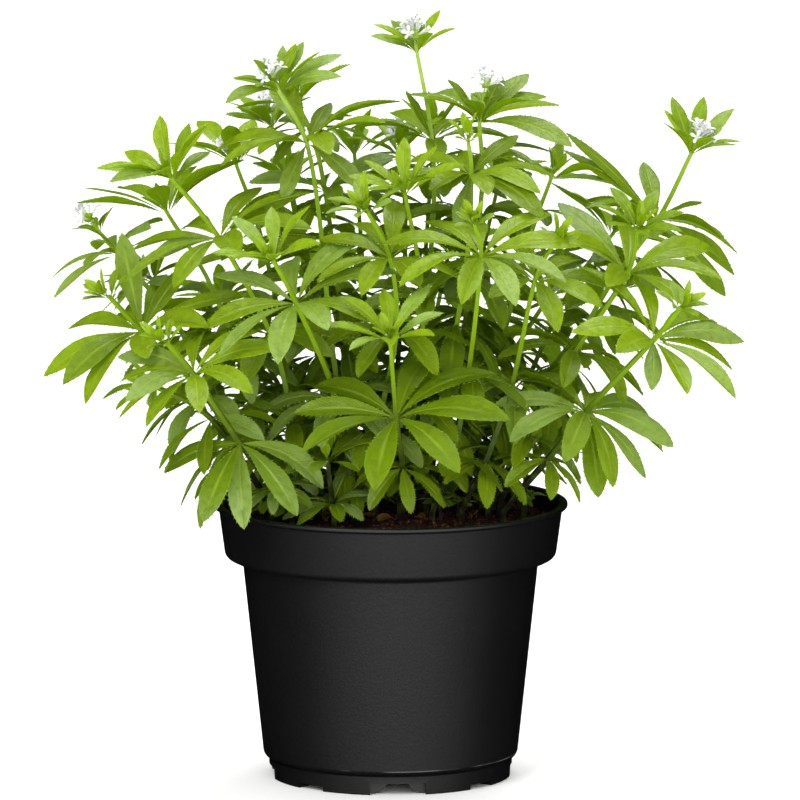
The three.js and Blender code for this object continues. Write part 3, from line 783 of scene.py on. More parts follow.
# The age value darkens the green: real age, and painted shade for blades deep in the bush
green = painted(tree, srgb("#95b501"), (
    ((age, 0.0, -0.3), 1.0, "#aaca18"),
    ((age, 0.0, 0.75), 1.0, "#7b9500"),
    ((age, 0.75, 1.25), 1.0, "#4d6c12"),
    ((tone, -0.2, 1.0), 0.35, "#a3bc08"),
    ((tone, -0.2, -1.0), 0.4, "#647d00"),
    (painted_sheen, 1.0, "#a6bf74"),
    ((mottle, 0.42, 0.68), 0.3, "#506604"),
    ((along, 0.25, 0.0), 0.45, "#98b40c"),
    (vein, 0.08, "#93b420"),
    ((out_from_rib, 0.9, 1.0), 0.35, "#a8c83c"),
    (rib, 0.55, "#a9c63c"),
    (under, 0.5, "#7c9a00"),
    ((age, 1.5, 1.9), 1.0, "#6b4a1c"),
))
relief = 0.0
for pattern, height in ((cells, 0.25), (vein, -0.25), (rib, -0.8), (mottle, 1.6)):
    relief = add_node(tree, "ShaderNodeMath", (pattern, height, relief), operation="MULTIPLY_ADD")
bump = add_node(tree, "ShaderNodeBump", {"Height": relief, "Strength": 0.5, "Distance": 0.5 * MM})
skin = add_node(tree, "ShaderNodeBsdfPrincipled", {
    "Base Color": green, "Roughness": 0.34, "IOR": 1.5, "Normal": bump,
})
lit_green = painted(tree, green, ((1.0, 0.65, "#b2cc00"),))
glow = add_node(tree, "ShaderNodeBsdfTranslucent", {"Color": lit_green, "Normal": bump})
leaf_light = add_node(tree, "ShaderNodeMixShader", (0.46, skin, glow))
add_node(tree, "ShaderNodeOutputMaterial", {"Surface": leaf_light}, None)

# Stalk: a juicy four-edged stem, pale yellow-green and smooth. Its colour is darker and duller
# towards the soil, as painted shade where the leaves shade it, and paler high up, partly the young
# tops' own colour and partly painted light where they stand clear of the leaves.
stalk_finish, tree = new_material("woodruff_stalk")
STREAKS = 3.333
place = add_node(tree, "ShaderNodeTexCoord", output="Object")
height = add_node(tree, "ShaderNodeSeparateXYZ", (place,), "Z")
streak = add_node(tree, "ShaderNodeTexNoise", {
    "Vector": place, "Scale": 1 / (STREAKS * MM), "Detail": 3.0,
}, "Fac")
# Painted shade low down and painted light high up, laid into the stalk's colour by height
stem_green_and_shade = painted(tree, srgb("#26310a"), (
    ((height, 102 * MM, 170 * MM), 1.0, "#76950f"),
    ((height, 116 * MM, 96 * MM), 1.0, "#140b06"),
    ((height, 200 * MM, 240 * MM), 1.0, "#96b248"),
    ((streak, 0.4, 0.8), 0.4, "#5f7a14"),
))
stem_skin = add_node(tree, "ShaderNodeBsdfPrincipled", {
    "Base Color": stem_green_and_shade, "Roughness": 0.55, "IOR": 1.4, "Specular IOR Level": 0.22,
})
add_node(tree, "ShaderNodeOutputMaterial", {"Surface": stem_skin}, None)

# The tree that sweeps a stem's strands: its stalk with a grooved square section, and its blades
# with a section of six points, then bends each blade's halves and sets teeth along its margins.
BLADE_CREASE = 1.2
STALK_CREASE = 0.9
# Where a blade is narrower than this from midrib to margin, it has no teeth
TOOTHLESS = 0.6
TOOTH_LEAN = 0.75
FULL_TURN = 6.283
stem_tree, given = new_tree("leafy_stem", [
    ("Blade thickness", "Float", 0.03),
    ("Midrib depth", "Float", 0.03),
    ("Keel", "Float", 0.07),
    ("Arch", "Float", 0.3),
    ("Ripple", "Float", 0.09),
    ("Ripples per metre", "Float", 120.0),
    ("Teeth per margin", "Int", 22),
    ("Tooth length", "Float", 0.85 * MM),
    ("Tooth width", "Float", 0.2 * MM),
    ("Stalk groove", "Float", 0.62),
    ("Seed", "Int", 0),
    ("Blade finish", "Material", None),
    ("Stalk finish", "Material", None),
])
half_width, fold, across, is_stalk, upper = (
    add_node(stem_tree, "GeometryNodeInputNamedAttribute", {"Name": name}, "Attribute", data_type=kind)
    for name, kind in (
        ("half_width", "FLOAT"), ("fold", "FLOAT"), ("across", "FLOAT"), ("is_stalk", "FLOAT"),
        ("upper", "FLOAT_VECTOR"),
    )
)
position = add_node(stem_tree, "GeometryNodeInputPosition")


def swept(strands, section):
    """The lines of strands, and their mesh with a section of (up, across) values or sockets."""
    ring = add_node(stem_tree, "GeometryNodeCurvePrimitiveCircle", {"Resolution": len(section)})
    corner = add_node(stem_tree, "GeometryNodeIndexSwitch", output=None, data_type="VECTOR")
    while len(corner.index_switch_items) < len(section):
        corner.index_switch_items.new()
    stem_tree.links.new(add_node(stem_tree, "GeometryNodeInputIndex"), corner.inputs["Index"])
    for k, place in enumerate(section):
        stem_tree.links.new(add_node(stem_tree, "ShaderNodeCombineXYZ", place), corner.inputs[k + 1])
    placed = add_node(stem_tree, "GeometryNodeSetPosition", {
        "Geometry": ring, "Position": corner.outputs[0],
    })
    marked = add_node(stem_tree, "GeometryNodeStoreNamedAttribute", {
        "Geometry": placed, "Name": "across",
        "Value": add_node(stem_tree, "ShaderNodeSeparateXYZ", (position,), "Y"),
    }, data_type="FLOAT", domain="POINT")
    lines = add_node(stem_tree, "GeometryNodeSetCurveNormal", {
        "Curve": add_node(stem_tree, "GeometryNodeMeshToCurve", {"Mesh": strands}), "Normal": upper,
    }, mode="FREE")
    return lines, add_node(stem_tree, "GeometryNodeCurveToMesh", {
        "Curve": lines, "Profile Curve": marked, "Scale": half_width, "Fill Caps": True,
    })


sorted_out = add_node(stem_tree, "GeometryNodeSeparateGeometry", {
    "Geometry": given["Geometry"], "Selection": is_stalk,
}, None, domain="POINT").outputs
groove, thick = given["Stalk groove"], given["Blade thickness"]
groove_back = add_node(stem_tree, "ShaderNodeMath", (groove, -1.0), operation="MULTIPLY")
edge = math.sqrt(0.5)
_, stalk_mesh = swept(sorted_out["Selection"], [
    (edge, -edge), (groove, 0.0), (edge, edge), (0.0, groove), (-edge, edge), (groove_back, 0.0),
    (-edge, -edge), (0.0, groove_back),
])
crown = add_node(stem_tree, "ShaderNodeMath", (thick, 0.02), operation="ADD")
sunk = add_node(stem_tree, "ShaderNodeMath", (thick, given["Midrib depth"]), operation="SUBTRACT")
keel = add_node(stem_tree, "ShaderNodeMath", (given["Keel"], -1.0), operation="MULTIPLY")
blade_lines, blade_mesh = swept(sorted_out["Inverted"], [
    (0.0, -1.0), (crown, -0.5), (sunk, 0.0), (crown, 0.5), (0.0, 1.0), (keel, 0.0),
])
closed = add_node(stem_tree, "GeometryNodeMergeByDistance", {
    "Geometry": blade_mesh, "Distance": 0.002 * MM,
}, mode="CONNECTED")

# How far a blade's surface lies above its line: its halves fold up, arch over and ripple
share = add_node(stem_tree, "ShaderNodeMath", (across,), operation="ABSOLUTE")
wing = add_node(stem_tree, "ShaderNodeMath", (fold, share), operation="MULTIPLY")
squared = add_node(stem_tree, "ShaderNodeMath", (share, 2.0), operation="POWER")
arch = add_node(stem_tree, "ShaderNodeMath", (given["Arch"], squared), operation="MULTIPLY")
distance = add_node(stem_tree, "ShaderNodeVectorMath", (position,), "Value", operation="LENGTH")
ripples = add_node(
    stem_tree, "ShaderNodeMath", (distance, given["Ripples per metre"]), operation="MULTIPLY"
)
turns = add_node(stem_tree, "ShaderNodeMath", (ripples, across), operation="ADD")
phase = add_node(stem_tree, "ShaderNodeMath", (turns, FULL_TURN), operation="MULTIPLY")
swing = add_node(stem_tree, "ShaderNodeMath", (phase,), operation="SINE")
outer_swing = add_node(stem_tree, "ShaderNodeMath", (swing, share), operation="MULTIPLY")
ripple = add_node(stem_tree, "ShaderNodeMath", (outer_swing, given["Ripple"]), operation="MULTIPLY")
bow = add_node(stem_tree, "ShaderNodeMath", (wing, arch), operation="SUBTRACT")
rise_share = add_node(stem_tree, "ShaderNodeMath", (bow, ripple), operation="ADD")
rise = add_node(stem_tree, "ShaderNodeMath", (rise_share, half_width), operation="MULTIPLY")
bent = add_node(stem_tree, "GeometryNodeSetPosition", {
    "Geometry": closed,
    "Offset": add_node(stem_tree, "ShaderNodeVectorMath", {0: upper, "Scale": rise}, operation="SCALE"),
})
normal = add_node(stem_tree, "GeometryNodeInputNormal")
facing = add_node(stem_tree, "ShaderNodeVectorMath", (normal, upper), "Value", operation="DOT_PRODUCT")
sided = add_node(stem_tree, "GeometryNodeStoreNamedAttribute", {
    "Geometry": bent, "Name": "underside",
    "Value": add_node(stem_tree, "ShaderNodeMath", (facing, 0.0), operation="LESS_THAN"),
}, data_type="FLOAT", domain="FACE")
crease = add_node(stem_tree, "GeometryNodeInputMeshEdgeAngle", output="Unsigned Angle")
finished_parts = []
for mesh, angle, finish in (
    (stalk_mesh, STALK_CREASE, given["Stalk finish"]), (sided, BLADE_CREASE, given["Blade finish"]),
):
    crisp = add_node(stem_tree, "GeometryNodeSetShadeSmooth", {
        "Geometry": mesh, "Shade Smooth": False,
        "Selection": add_node(stem_tree, "ShaderNodeMath", (crease, angle), operation="GREATER_THAN"),
    }, domain="EDGE")
    finished_parts.append(realised(stem_tree, crisp, finish))

# Teeth: three-sided spikes along both margins, which point forwards and out
tooth = add_node(stem_tree, "GeometryNodeMeshCone", {
    "Vertices": 3, "Radius Top": 0.0, "Radius Bottom": 1.0, "Depth": 1.0,
})
runs = add_node(stem_tree, "GeometryNodeInputTangent")
square = add_node(stem_tree, "ShaderNodeVectorMath", (upper, runs), operation="CROSS_PRODUCT")
bow = add_node(stem_tree, "ShaderNodeMath", (fold, given["Arch"]), operation="SUBTRACT")
edge_rise = add_node(stem_tree, "ShaderNodeMath", (bow, half_width), operation="MULTIPLY")
lift = add_node(stem_tree, "ShaderNodeVectorMath", {0: upper, "Scale": edge_rise}, operation="SCALE")
spread = add_node(stem_tree, "FunctionNodeRandomValue", {
    2: 0.6, 3: 1.2, 8: given["Seed"],
}, 1, data_type="FLOAT")
wide, long = (
    add_node(stem_tree, "ShaderNodeMath", (given[f"Tooth {size}"], spread), operation="MULTIPLY")
    for size in ("width", "length")
)
tooth_size = add_node(stem_tree, "ShaderNodeCombineXYZ", (wide, wide, long))
margins = []
for hand in (1.0, -1.0):
    sideways, outwards = (
        add_node(stem_tree, "ShaderNodeVectorMath", {0: square, "Scale": size}, operation="SCALE")
        for size in (hand, TOOTH_LEAN * hand)
    )
    aside = add_node(
        stem_tree, "ShaderNodeVectorMath", {0: sideways, "Scale": half_width}, operation="SCALE"
    )
    margin = add_node(stem_tree, "GeometryNodeSetPosition", {
        "Geometry": add_node(stem_tree, "GeometryNodeResampleCurve", {
            "Curve": blade_lines, "Count": given["Teeth per margin"],
        }),
        "Offset": add_node(stem_tree, "ShaderNodeVectorMath", (aside, lift), operation="ADD"),
    })
    aim = add_node(stem_tree, "FunctionNodeAxesToRotation", {
        "Primary Axis": add_node(stem_tree, "ShaderNodeVectorMath", (runs, outwards), operation="ADD"),
        "Secondary Axis": upper,
    }, primary_axis="Z", secondary_axis="X")
    margins.append(add_node(stem_tree, "GeometryNodeInstanceOnPoints", {
        "Points": margin, "Instance": tooth, "Rotation": aim, "Scale": tooth_size,
        "Selection": add_node(
            stem_tree, "ShaderNodeMath", (half_width, TOOTHLESS * MM), operation="GREATER_THAN"
        ),
    }))
teeth = add_node(stem_tree, "GeometryNodeJoinGeometry", (margins,))
finished_parts.append(realised(stem_tree, teeth, given["Blade finish"]))
whole = add_node(stem_tree, "GeometryNodeJoinGeometry", (finished_parts,))
add_node(stem_tree, "NodeGroupOutput", (whole,), None)


def whorl_at(line, share):
    """The root point of a whorl on a stalk's line, and the axis that its blades stand round."""
    return point_on(line, share), unit(tangent_on(line, share) * (1 - UPRIGHT) + UP * UPRIGHT)


stems = dict(STEMS)
stems.update(rear_stems())
lines, strands_of, taken = {}, {}, []
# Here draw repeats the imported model's draws, and own and tone_of are the scene's
for index, (name, (root, whorls)) in enumerate(stems.items()):
    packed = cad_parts[f"stem_{name}"].data
    corners = KDTree(len(packed.vertices))
    for k, v in enumerate(packed.vertices):
        corners.insert(v.co / MM, k)
    corners.balance()
    draw, own, tone_of = draws_of(index), draws_of(900 + index), draws_of(WHORL_TONES * (index + 1))
    line = stalk_points(root, whorls, PEDUNCLE if name in FLOWERING else BUD)
    strands = Strands()
    add_stalk(strands, line)
    for w, whorl in enumerate(whorls):
        length, count, turn = whorl[3:6]
        further = whorl[6] if len(whorl) > 6 else 0
        below_tip = min(len(whorls) - 1 - w, 2)
        lift, droop = HABITS[below_tip]
        foot, axis = whorl_at(line, (w + 2) / (len(line) - 1))
        age = AGES[below_tip] + (AGE_HEIGHT - whorl[2]) / AGE_SPAN
        tone = tone_of(-1, 1)
        for ways in blade_ways(foot, axis, length, count, turn, lift + further, droop, draw):
            found = next((way for way in ways if corners.find(tip_of(way))[2] < SAME_TIP), None)
            if found is not None:
                add_blade(
                    strands, found, tone + own(-0.3, 0.3), age + own(-0.12, 0.12), own(0.35, 0.8),
                    own(0.04, 0.09), WIDTHS[below_tip], TAPERS[below_tip],
                )
                taken.append(found)
    lines[name], strands_of[name] = line, strands

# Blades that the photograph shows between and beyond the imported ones: stem, whorl, the tip and,
# for those that show their edge, the share of the usual width
FURTHER_BLADES = (
    ("right_flower", 1, (59, 12, 218), 0.5), ("right_flower", 1, (58, 12, 212), 0.5),
    ("right_flower", 1, (86, 28, 206)), ("right_flower", 1, (105, -6, 196)),
    ("right_flower", 1, (117, 20, 168)), ("right_flower", 1, (113, -5, 164)),
    ("right_light", 2, (56, -12, 197)), ("top_right_of_middle", 1, (61, -15, 216)),
    ("top_right_of_middle", 1, (47, 19, 237)), ("top_right_of_middle", 1, (38, 12, 237)),
    ("top_right_of_middle", 1, (19, -8, 238)), ("upper_middle", 1, (51, -48, 196)),
    ("upper_middle", 1, (43, -14, 220)), ("upper_middle", 1, (22, -42, 192)),
    ("upper_middle", 1, (17, -44, 204)), ("upper_right", 1, (58, 18, 215)),
    ("front_right_low", 2, (118, -42, 154)), ("front_right_low", 2, (86, -80, 143)),
    ("left_light", 3, (-67, -29, 226)), ("left_light", 3, (-93, -56, 209)),
    ("left_light", 3, (-60, -27, 216)), ("front_left_low", 0, (-76, -30, 108)),
    ("upper_left_tall", 3, (-16, -12, 247)), ("upper_left_tall", 3, (-16, -27, 241)),
    ("upper_left_tall", 3, (-46, -28, 247)), ("upper_left_tall", 3, (-55, -36, 233)),
    ("upper_left_back", 1, (-56, 3, 225)), ("upper_left_back", 1, (-52, 28, 225)),
    ("upper_left_tall", 2, (-20, 4, 229)), ("upper_left_tall", 2, (-9, -28, 203)),
    ("upper_left_tall", 2, (-36, -28, 199)), ("tallest", 1, (5, 2, 233)),
    ("upper_left_fork", 0, (-48, 0, 202)), ("upper_left_fork", 0, (-54, -8, 187)),
    ("upper_left_fork", 0, (2, 18, 209)), ("upper_left_fork", 0, (-3, 19, 186)),
    ("upper_left_fork", 0, (-34, -9, 181)), ("upper_left_fork", 0, (-6, -6, 203)),
    ("top_middle_back", 1, (-12, 44, 194)), ("top_middle_back", 1, (18, 40, 190)),
    ("right_flower", 2, (95, 14, 230)), ("right_flower", 2, (106, 14, 230)),
    ("right_flower", 2, (116, 4, 227)), ("tallest", 2, (-7, -2, 252)),
    ("tallest", 2, (9, 15, 258)), ("tallest", 2, (0, 14, 256)),
    ("upper_left_tall", 3, (-36, -10, 250)), ("upper_left_tall", 3, (-29, -8, 251)),
    ("left", 2, (-109, -46, 140)), ("front_left_low", 0, (-62, -66, 97)),
    ("front_right_low", 1, (69, -59, 104)), ("front_right_low", 1, (94, -59, 121)),
    ("left", 2, (-90, -21, 188)), ("left", 2, (-67, -22, 178)),
    ("left_light", 2, (-81, -26, 179)), ("left_rear_top", 1, (-104, -6, 188)),
    ("front_left_low", 1, (-91, -42, 149)), ("front_left_low", 1, (-87, -84, 140)),
)
TOWARDS_FRONT = np.array((0.0, -0.8, 0.3))
draw = draws_of(1100)
for name, w, tip, *narrower in FURTHER_BLADES:
    line = lines[name]
    below_tip = min(len(stems[name][1]) - 1 - w, 2)
    foot, axis = whorl_at(line, (w + 2) / (len(line) - 1))
    chord = np.array(tip) - foot
    length = np.linalg.norm(chord)
    level = 1 - abs(chord[2]) / length
    leaves = unit(chord / length + UP * 0.4 * level)
    ends = 2 * chord / length - leaves
    facing = axis + TOWARDS_FRONT
    upper = unit(facing - unit(chord) * np.dot(facing, unit(chord)))
    half_width = length * BLADE_WIDTH_SHARE * (narrower[0] if narrower else 1)
    way = (foot, leaves, ends, upper, length, half_width)
    # The further blades take an older age, whose darker colour is painted shade
    add_blade(
        strands_of[name], way, draw(-1, 0.3), FURTHER_SHADED_AGES[below_tip], draw(0.2, 0.5),
        draw(0.02, 0.06), WIDTHS[below_tip], TAPERS[below_tip],
    )
    taken.append(way)

# Undergrowth: older, darker, drooping whorls that fill the foot of the bush, and further whorls
# between the imported ones of the stems behind. Their dark colour of old age is partly painted shade
# for the deep inside of the bush. A blade grows only where there is room for it. Each stalk that
# isn't in flower ends in a bud of small upright leaves.
UNDERGROWTH_FOOT = 98
UNDERGROWTH_STEP = 13
UNDERGROWTH_CLEAR = 15
LONG_BLADES_FROM = 106
# Stems whose whorls lie behind this y get further whorls, one to each gap of this height
REAR_FROM = 2
BETWEEN_GAP = 17
# Bare soil stays in sight in front, on the right: least x, least and greatest y, and free height
BARE_SOIL = (-8, -58, -4, 99)
# Heights that a blade keeps over: above the soil, above the rim's band of radii, and beyond it
SOIL_CLEAR, RIM_CLEAR, OUTSIDE_CLEAR = 91.5, 95.5, 60
RIM_BAND = (52, 64)
# How far blades keep from each other, and the shares of a blade's length at which they do
ROOM = 2.2
CLAIMED = np.linspace(0.15, 1, 9)


def stations(way, shares=(0.3, 0.45, 0.6, 0.8, 1)):
    """Points on the line of a blade, at shares of its length."""
    root, leaves, ends, _, length, _ = way
    bend = root + leaves * length / 2
    tip = bend + ends * length / 2
    return [(1 - s) ** 2 * root + 2 * s * (1 - s) * bend + s**2 * tip for s in shares]


class Room:
    """Points that are taken, in cells, so that those near a point are found quickly."""

    def __init__(self, cell):
        self.cell, self.cells = cell, {}

    def place(self, p):
        return tuple(int(math.floor(c / self.cell)) for c in p)

    def add(self, points):
        for p in points:
            self.cells.setdefault(self.place(p), []).append(p)

    def is_clear(self, p):
        i, j, k = self.place(p)
        near = (
            q for a in (i - 1, i, i + 1) for b in (j - 1, j, j + 1) for c in (k - 1, k, k + 1)
            for q in self.cells.get((a, b, c), ())
        )
        return all(math.dist(p, q) > self.cell for q in near)


blade_room, stalk_room = Room(ROOM), Room(ROOM)
for way in taken:
    blade_room.add(stations(way, CLAIMED))
for line in lines.values():
    stalk_room.add([point_on(line, s) for s in np.linspace(0.15, 1, 60)])


def lowest_at(radius):
    """How low a blade may hang at a distance from the pot's axis."""
    if RIM_BAND[0] < radius < RIM_BAND[1]:
        return RIM_CLEAR
    return SOIL_CLEAR if radius <= RIM_BAND[0] else OUTSIDE_CLEAR


def has_room(way):
    """True if a new blade stays clear of the others, of the stalks, of the soil and of the pot."""
    for p in stations(way):
        if p[2] < lowest_at(math.hypot(p[0], p[1])):
            return False
        if p[0] > BARE_SOIL[0] and BARE_SOIL[1] < p[1] < BARE_SOIL[2] and p[2] < BARE_SOIL[3]:
            return False
        if not (blade_room.is_clear(p) and stalk_room.is_clear(p)):
            return False
    return True


def claim(ways):
    """The first of the ways that a blade may grow that has room, which it then takes up."""
    found = next((way for way in ways if has_room(way)), None)
    if found is not None:
        blade_room.add(stations(found, CLAIMED))
    return found


for index, (name, line) in enumerate(lines.items()):
    draw = draws_of(1300 + index)
    spans = len(line) - 1
    height = UNDERGROWTH_FOOT + draw(-3, 5)
    while height < line[2][2] - UNDERGROWTH_CLEAR:
        shares = np.linspace(1 / spans, 2 / spans, 60)
        share = min(shares, key=lambda s: abs(point_on(line, s)[2] - height))
        foot, axis = whorl_at(line, share)
        length = draw(23, 30) if height > LONG_BLADES_FROM else draw(15, 21)
        for ways in blade_ways(foot, axis, length, 7, draw(0, 60), draw(-38, 4), 0.55, draw):
            tone, age, fold = draw(-1, 1), draw(0.85, 1.2), draw(0.1, 0.4)
            found = claim(ways)
            if found is not None:
                add_blade(strands_of[name], found, tone, age, fold)
        height += UNDERGROWTH_STEP + draw(-2, 5)

# The further whorls, where there is room, old and dark: partly painted shade for the stems behind
for index, (name, line) in enumerate(lines.items()):
    draw = draws_of(1500 + index)
    spans = len(line) - 1
    whorls = stems[name][1]
    if np.mean([whorl[1] for whorl in whorls]) < REAR_FROM:
        continue
    for w in range(len(whorls) - (2 if name in FLOWERING else 1)):
        gap = whorls[w + 1][2] - whorls[w][2]
        count = int(gap / BETWEEN_GAP)
        for k in range(count):
            foot, axis = whorl_at(line, (w + 2 + (k + 1) / (count + 1)) / spans)
            for ways in blade_ways(foot, axis, draw(21, 28), 6, draw(0, 60), draw(-14, 8), 0.4, draw):
                found = claim(ways)
                if found is not None:
                    add_blade(strands_of[name], found, draw(-1, 0.4), draw(0.8, 1.1), draw(0.1, 0.4))

# The buds of small leaves, and then each stem's finished piece
for index, (name, line) in enumerate(lines.items()):
    draw = draws_of(1700 + index)
    if name not in FLOWERING:
        foot, axis = point_on(line, 1) - UP * 0.8, tangent_on(line, 1)
        for size, lift, count in ((11, 62, 4), (7, 76, 4)):
            for ways in blade_ways(foot, axis, size, count, draw(0, 60), lift, 0.02, draw):
                add_blade(strands_of[name], ways[0], draw(0.2, 1), -0.3, 0.6, 0.03, 0.9, 0.9)
    piece = grown(f"leafy_stem_{name}", strands_of[name].as_object(f"strands_{name}"), stem_tree, {
        "Seed": index, "Blade finish": blade_finish, "Stalk finish": stalk_finish,
    })
    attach(piece, "root")
    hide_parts(f"stem_{name}")

# Sprouts and dead leaves: small young shoots round the foot of the bush, and a few dry blades that
# lie curled on the soil among them.
SPROUTS = (  # x, y, height, blade length and blades
    (17, -13, 5, 8, 6), (23, -9, 4, 7, 5), (34, -2, 8, 8, 6), (-30, -20, 5, 8, 6), (-24, -12, 4, 7, 5),
    (46, 10, 5, 7, 6), (-46, 10, 6, 8, 6), (0, 40, 6, 8, 6), (28, 32, 5, 7, 5), (-28, 34, 5, 8, 6),
    (-12, 26, 4, 6, 5), (44, 22, 4, 7, 5),
)
DEAD_BLADES = (  # x, y, turn and length
    (-18, -8, 40, 12), (-15, -14, 160, 9), (-22, -17, 250, 10), (-12, -20, 10, 8), (2, -22, 200, 9),
    (12, -24, 100, 8), (27, -20, 60, 9), (-34, -8, 300, 11), (30, 8, 20, 10), (-6, 34, 130, 11),
    (22, 26, 220, 10), (-38, 22, 70, 9),
)
SPROUT_RADII = (0.7, 0.6, 0.5)
SPROUT_ROOT = 1.5
low_growth = Strands()
draw = draws_of(2100)
for x, y, height, length, count in SPROUTS:
    foot = np.array((x, y, soil_height(math.hypot(x, y)) - SPROUT_ROOT))
    top = foot + np.array((draw(-1, 1), draw(-1, 1), height + SPROUT_ROOT))
    line = [foot, (foot + top) / 2 + np.array((draw(-0.6, 0.6), draw(-0.6, 0.6), 0)), top]
    radii = [r * MM for r in SPROUT_RADII]
    low_growth.add(line, [np.array((1.0, 0, 0))] * 3, half_width=radii, is_stalk=1.0)
    for lift, share in ((12, 1), (58, 0.5)):
        for ways in blade_ways(top, UP, length * share, count, draw(0, 60), lift, 0.2, draw):
            add_blade(low_growth, ways[0], draw(-1, 1), draw(0.7, 1.0), 0.35)
for x, y, turn, length in DEAD_BLADES:
    foot = np.array((x, y, soil_height(math.hypot(x, y)) + 0.6))
    a = math.radians(turn)
    leaves = unit(np.array((math.cos(a), math.sin(a), 0.35)))
    ends = unit(np.array((math.cos(a + 0.7), math.sin(a + 0.7), -0.25)))
    upper = unit(np.array((-math.sin(a) * 0.5, math.cos(a) * 0.5, 1.0)))
    add_blade(low_growth, (foot, leaves, ends, upper, length, length * 0.14), draw(-1, 1), 2.0, 0.9)
piece = grown("low_sprouts", low_growth.as_object("strands_low"), stem_tree, {
    "Seed": 77, "Blade finish": blade_finish, "Stalk finish": stalk_finish,
})
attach(piece, "root")

# Florets: heads of small white stars. Each has a narrow tube on a green seed knob, which opens into
# four rounded lobes with stamens between them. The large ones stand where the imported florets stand,
# and smaller ones fill the head.
FLORET_TUBE = 4.4
FLORET_RADIUS = 2.5
FLORET_START = 1.6
HEAD_GAP = 0.3
SMALL_FLORETS = 11
# These heads are seen from the side, and their small florets lean out further
WIDE_HEADS = ("upper_left_back", "upper_left_rear")
WIDER = 2.1
LOBE_FOOT = 0.95
LOBE_RISE = 0.4
LOBE_CURL = 1.7
# Along the lobe and half across it, as shares of the floret's radius
LOBE_OUTLINE = ((0.12, 0.1), (0.34, 0.17), (0.58, 0.25), (0.8, 0.21), (0.94, 0.1))
TUBE_OUTLINE = ((-0.6, 0.02), (0.0, 0.035), (0.5, 0.09), (0.86, 0.13), (0.98, 0.2))
TUBE_SIDES = 6

# Corolla: thin white petals with a bloom and no gloss, greenish down in the tube
petal_finish, tree = new_material("white_corolla")
depth = add_node(tree, "ShaderNodeAttribute", output="Fac", attribute_name="depth")
white = painted(tree, srgb("#c4d896"), ((depth, 1.0, "#f1f1f2"),))
petal_skin = add_node(tree, "ShaderNodeBsdfPrincipled", {
    "Base Color": white, "Roughness": 0.6, "IOR": 1.36,
})
petal_glow = add_node(tree, "ShaderNodeBsdfTranslucent", {"Color": white})
petal_light = add_node(tree, "ShaderNodeMixShader", (0.35, petal_skin, petal_glow))
add_node(tree, "ShaderNodeOutputMaterial", {"Surface": petal_light}, None)


def add_rings(made, outlines):
    """Rings of corners, each bridged to the next and the first one closed."""
    rings = [[made.verts.new(p) for p in outline] for outline in outlines]
    for low, high in zip(rings, rings[1:]):
        bridge(made, low, high)
    made.faces.new(rings[0][::-1])
    return rings


def floret_shape():
    """One floret, its tube a unit tall from its foot to its mouth, as closed shapes."""
    made = bmesh.new()
    turns = [2 * math.pi * k / TUBE_SIDES for k in range(TUBE_SIDES)]
    rings = [[(r * math.cos(a), r * math.sin(a), z) for a in turns] for z, r in TUBE_OUTLINE]
    made.faces.new(add_rings(made, rings)[-1])
    reach = FLORET_RADIUS / FLORET_TUBE
    for k in range(4):
        a = math.pi / 2 * k
        out = np.array((math.cos(a), math.sin(a), 0.0))
        side = np.array((-math.sin(a), math.cos(a), 0.0))
        sections = []
        for share, half in LOBE_OUTLINE:
            rise = LOBE_FOOT + LOBE_RISE * math.sin(share * LOBE_CURL)
            middle = out * reach * share + UP * rise
            half = side * half * reach * 1.05
            left, right = middle - half + UP * 0.03, middle + half + UP * 0.03
            sections.append([left, middle, right, middle - UP * 0.022])
        lobe = add_rings(made, sections)
        tip = made.verts.new(out * reach + UP * (LOBE_FOOT + LOBE_RISE * math.sin(LOBE_CURL)))
        for j in range(4):
            made.faces.new((lobe[-1][j], lobe[-1][(j + 1) % 4], tip))
    for k in range(4):
        a = math.pi / 2 * (k + 0.5)
        out = np.array((math.cos(a), math.sin(a), 0.0))
        foot = out * 0.1 + UP * LOBE_FOOT
        head = foot + out * 0.07 + UP * 0.2
        add_prism(made, [
            [foot + (x, y, 0) for x, y in ((0.02, 0), (-0.01, 0.017), (-0.01, -0.017))],
            [head + (x, y, 0) for x, y in ((0.035, 0), (-0.017, 0.03), (-0.017, -0.03))],
        ])
    bmesh.ops.recalc_face_normals(made, faces=made.faces)
    mesh = to_mesh("floret_shape", made)
    store(mesh, "depth", [min(1, max(0, (v.co.z - 0.15) * 1.6)) for v in mesh.vertices])
    return to_object("floret_shape", mesh)


def star_points(name, stars):
    """Loose points that carry a shape each, given as foot, aim, spin and length."""
    feet, aims, spins, lengths = zip(*stars)
    mesh = bpy.data.meshes.new(name)
    mesh.from_pydata(np.array(feet) * MM, [], [])
    store(mesh, "aim", aims)
    store(mesh, "spin", spins)
    store(mesh, "length", np.array(lengths, np.float32) * MM)
    return to_object(name, mesh)


def leaning(axis, lean, angle):
    """A direction that leans away from an axis, to an angle round it."""
    side, front = across_axis(axis)
    outward = side * math.cos(angle) + front * math.sin(angle)
    return unit(axis * math.cos(lean) + outward * math.sin(lean))


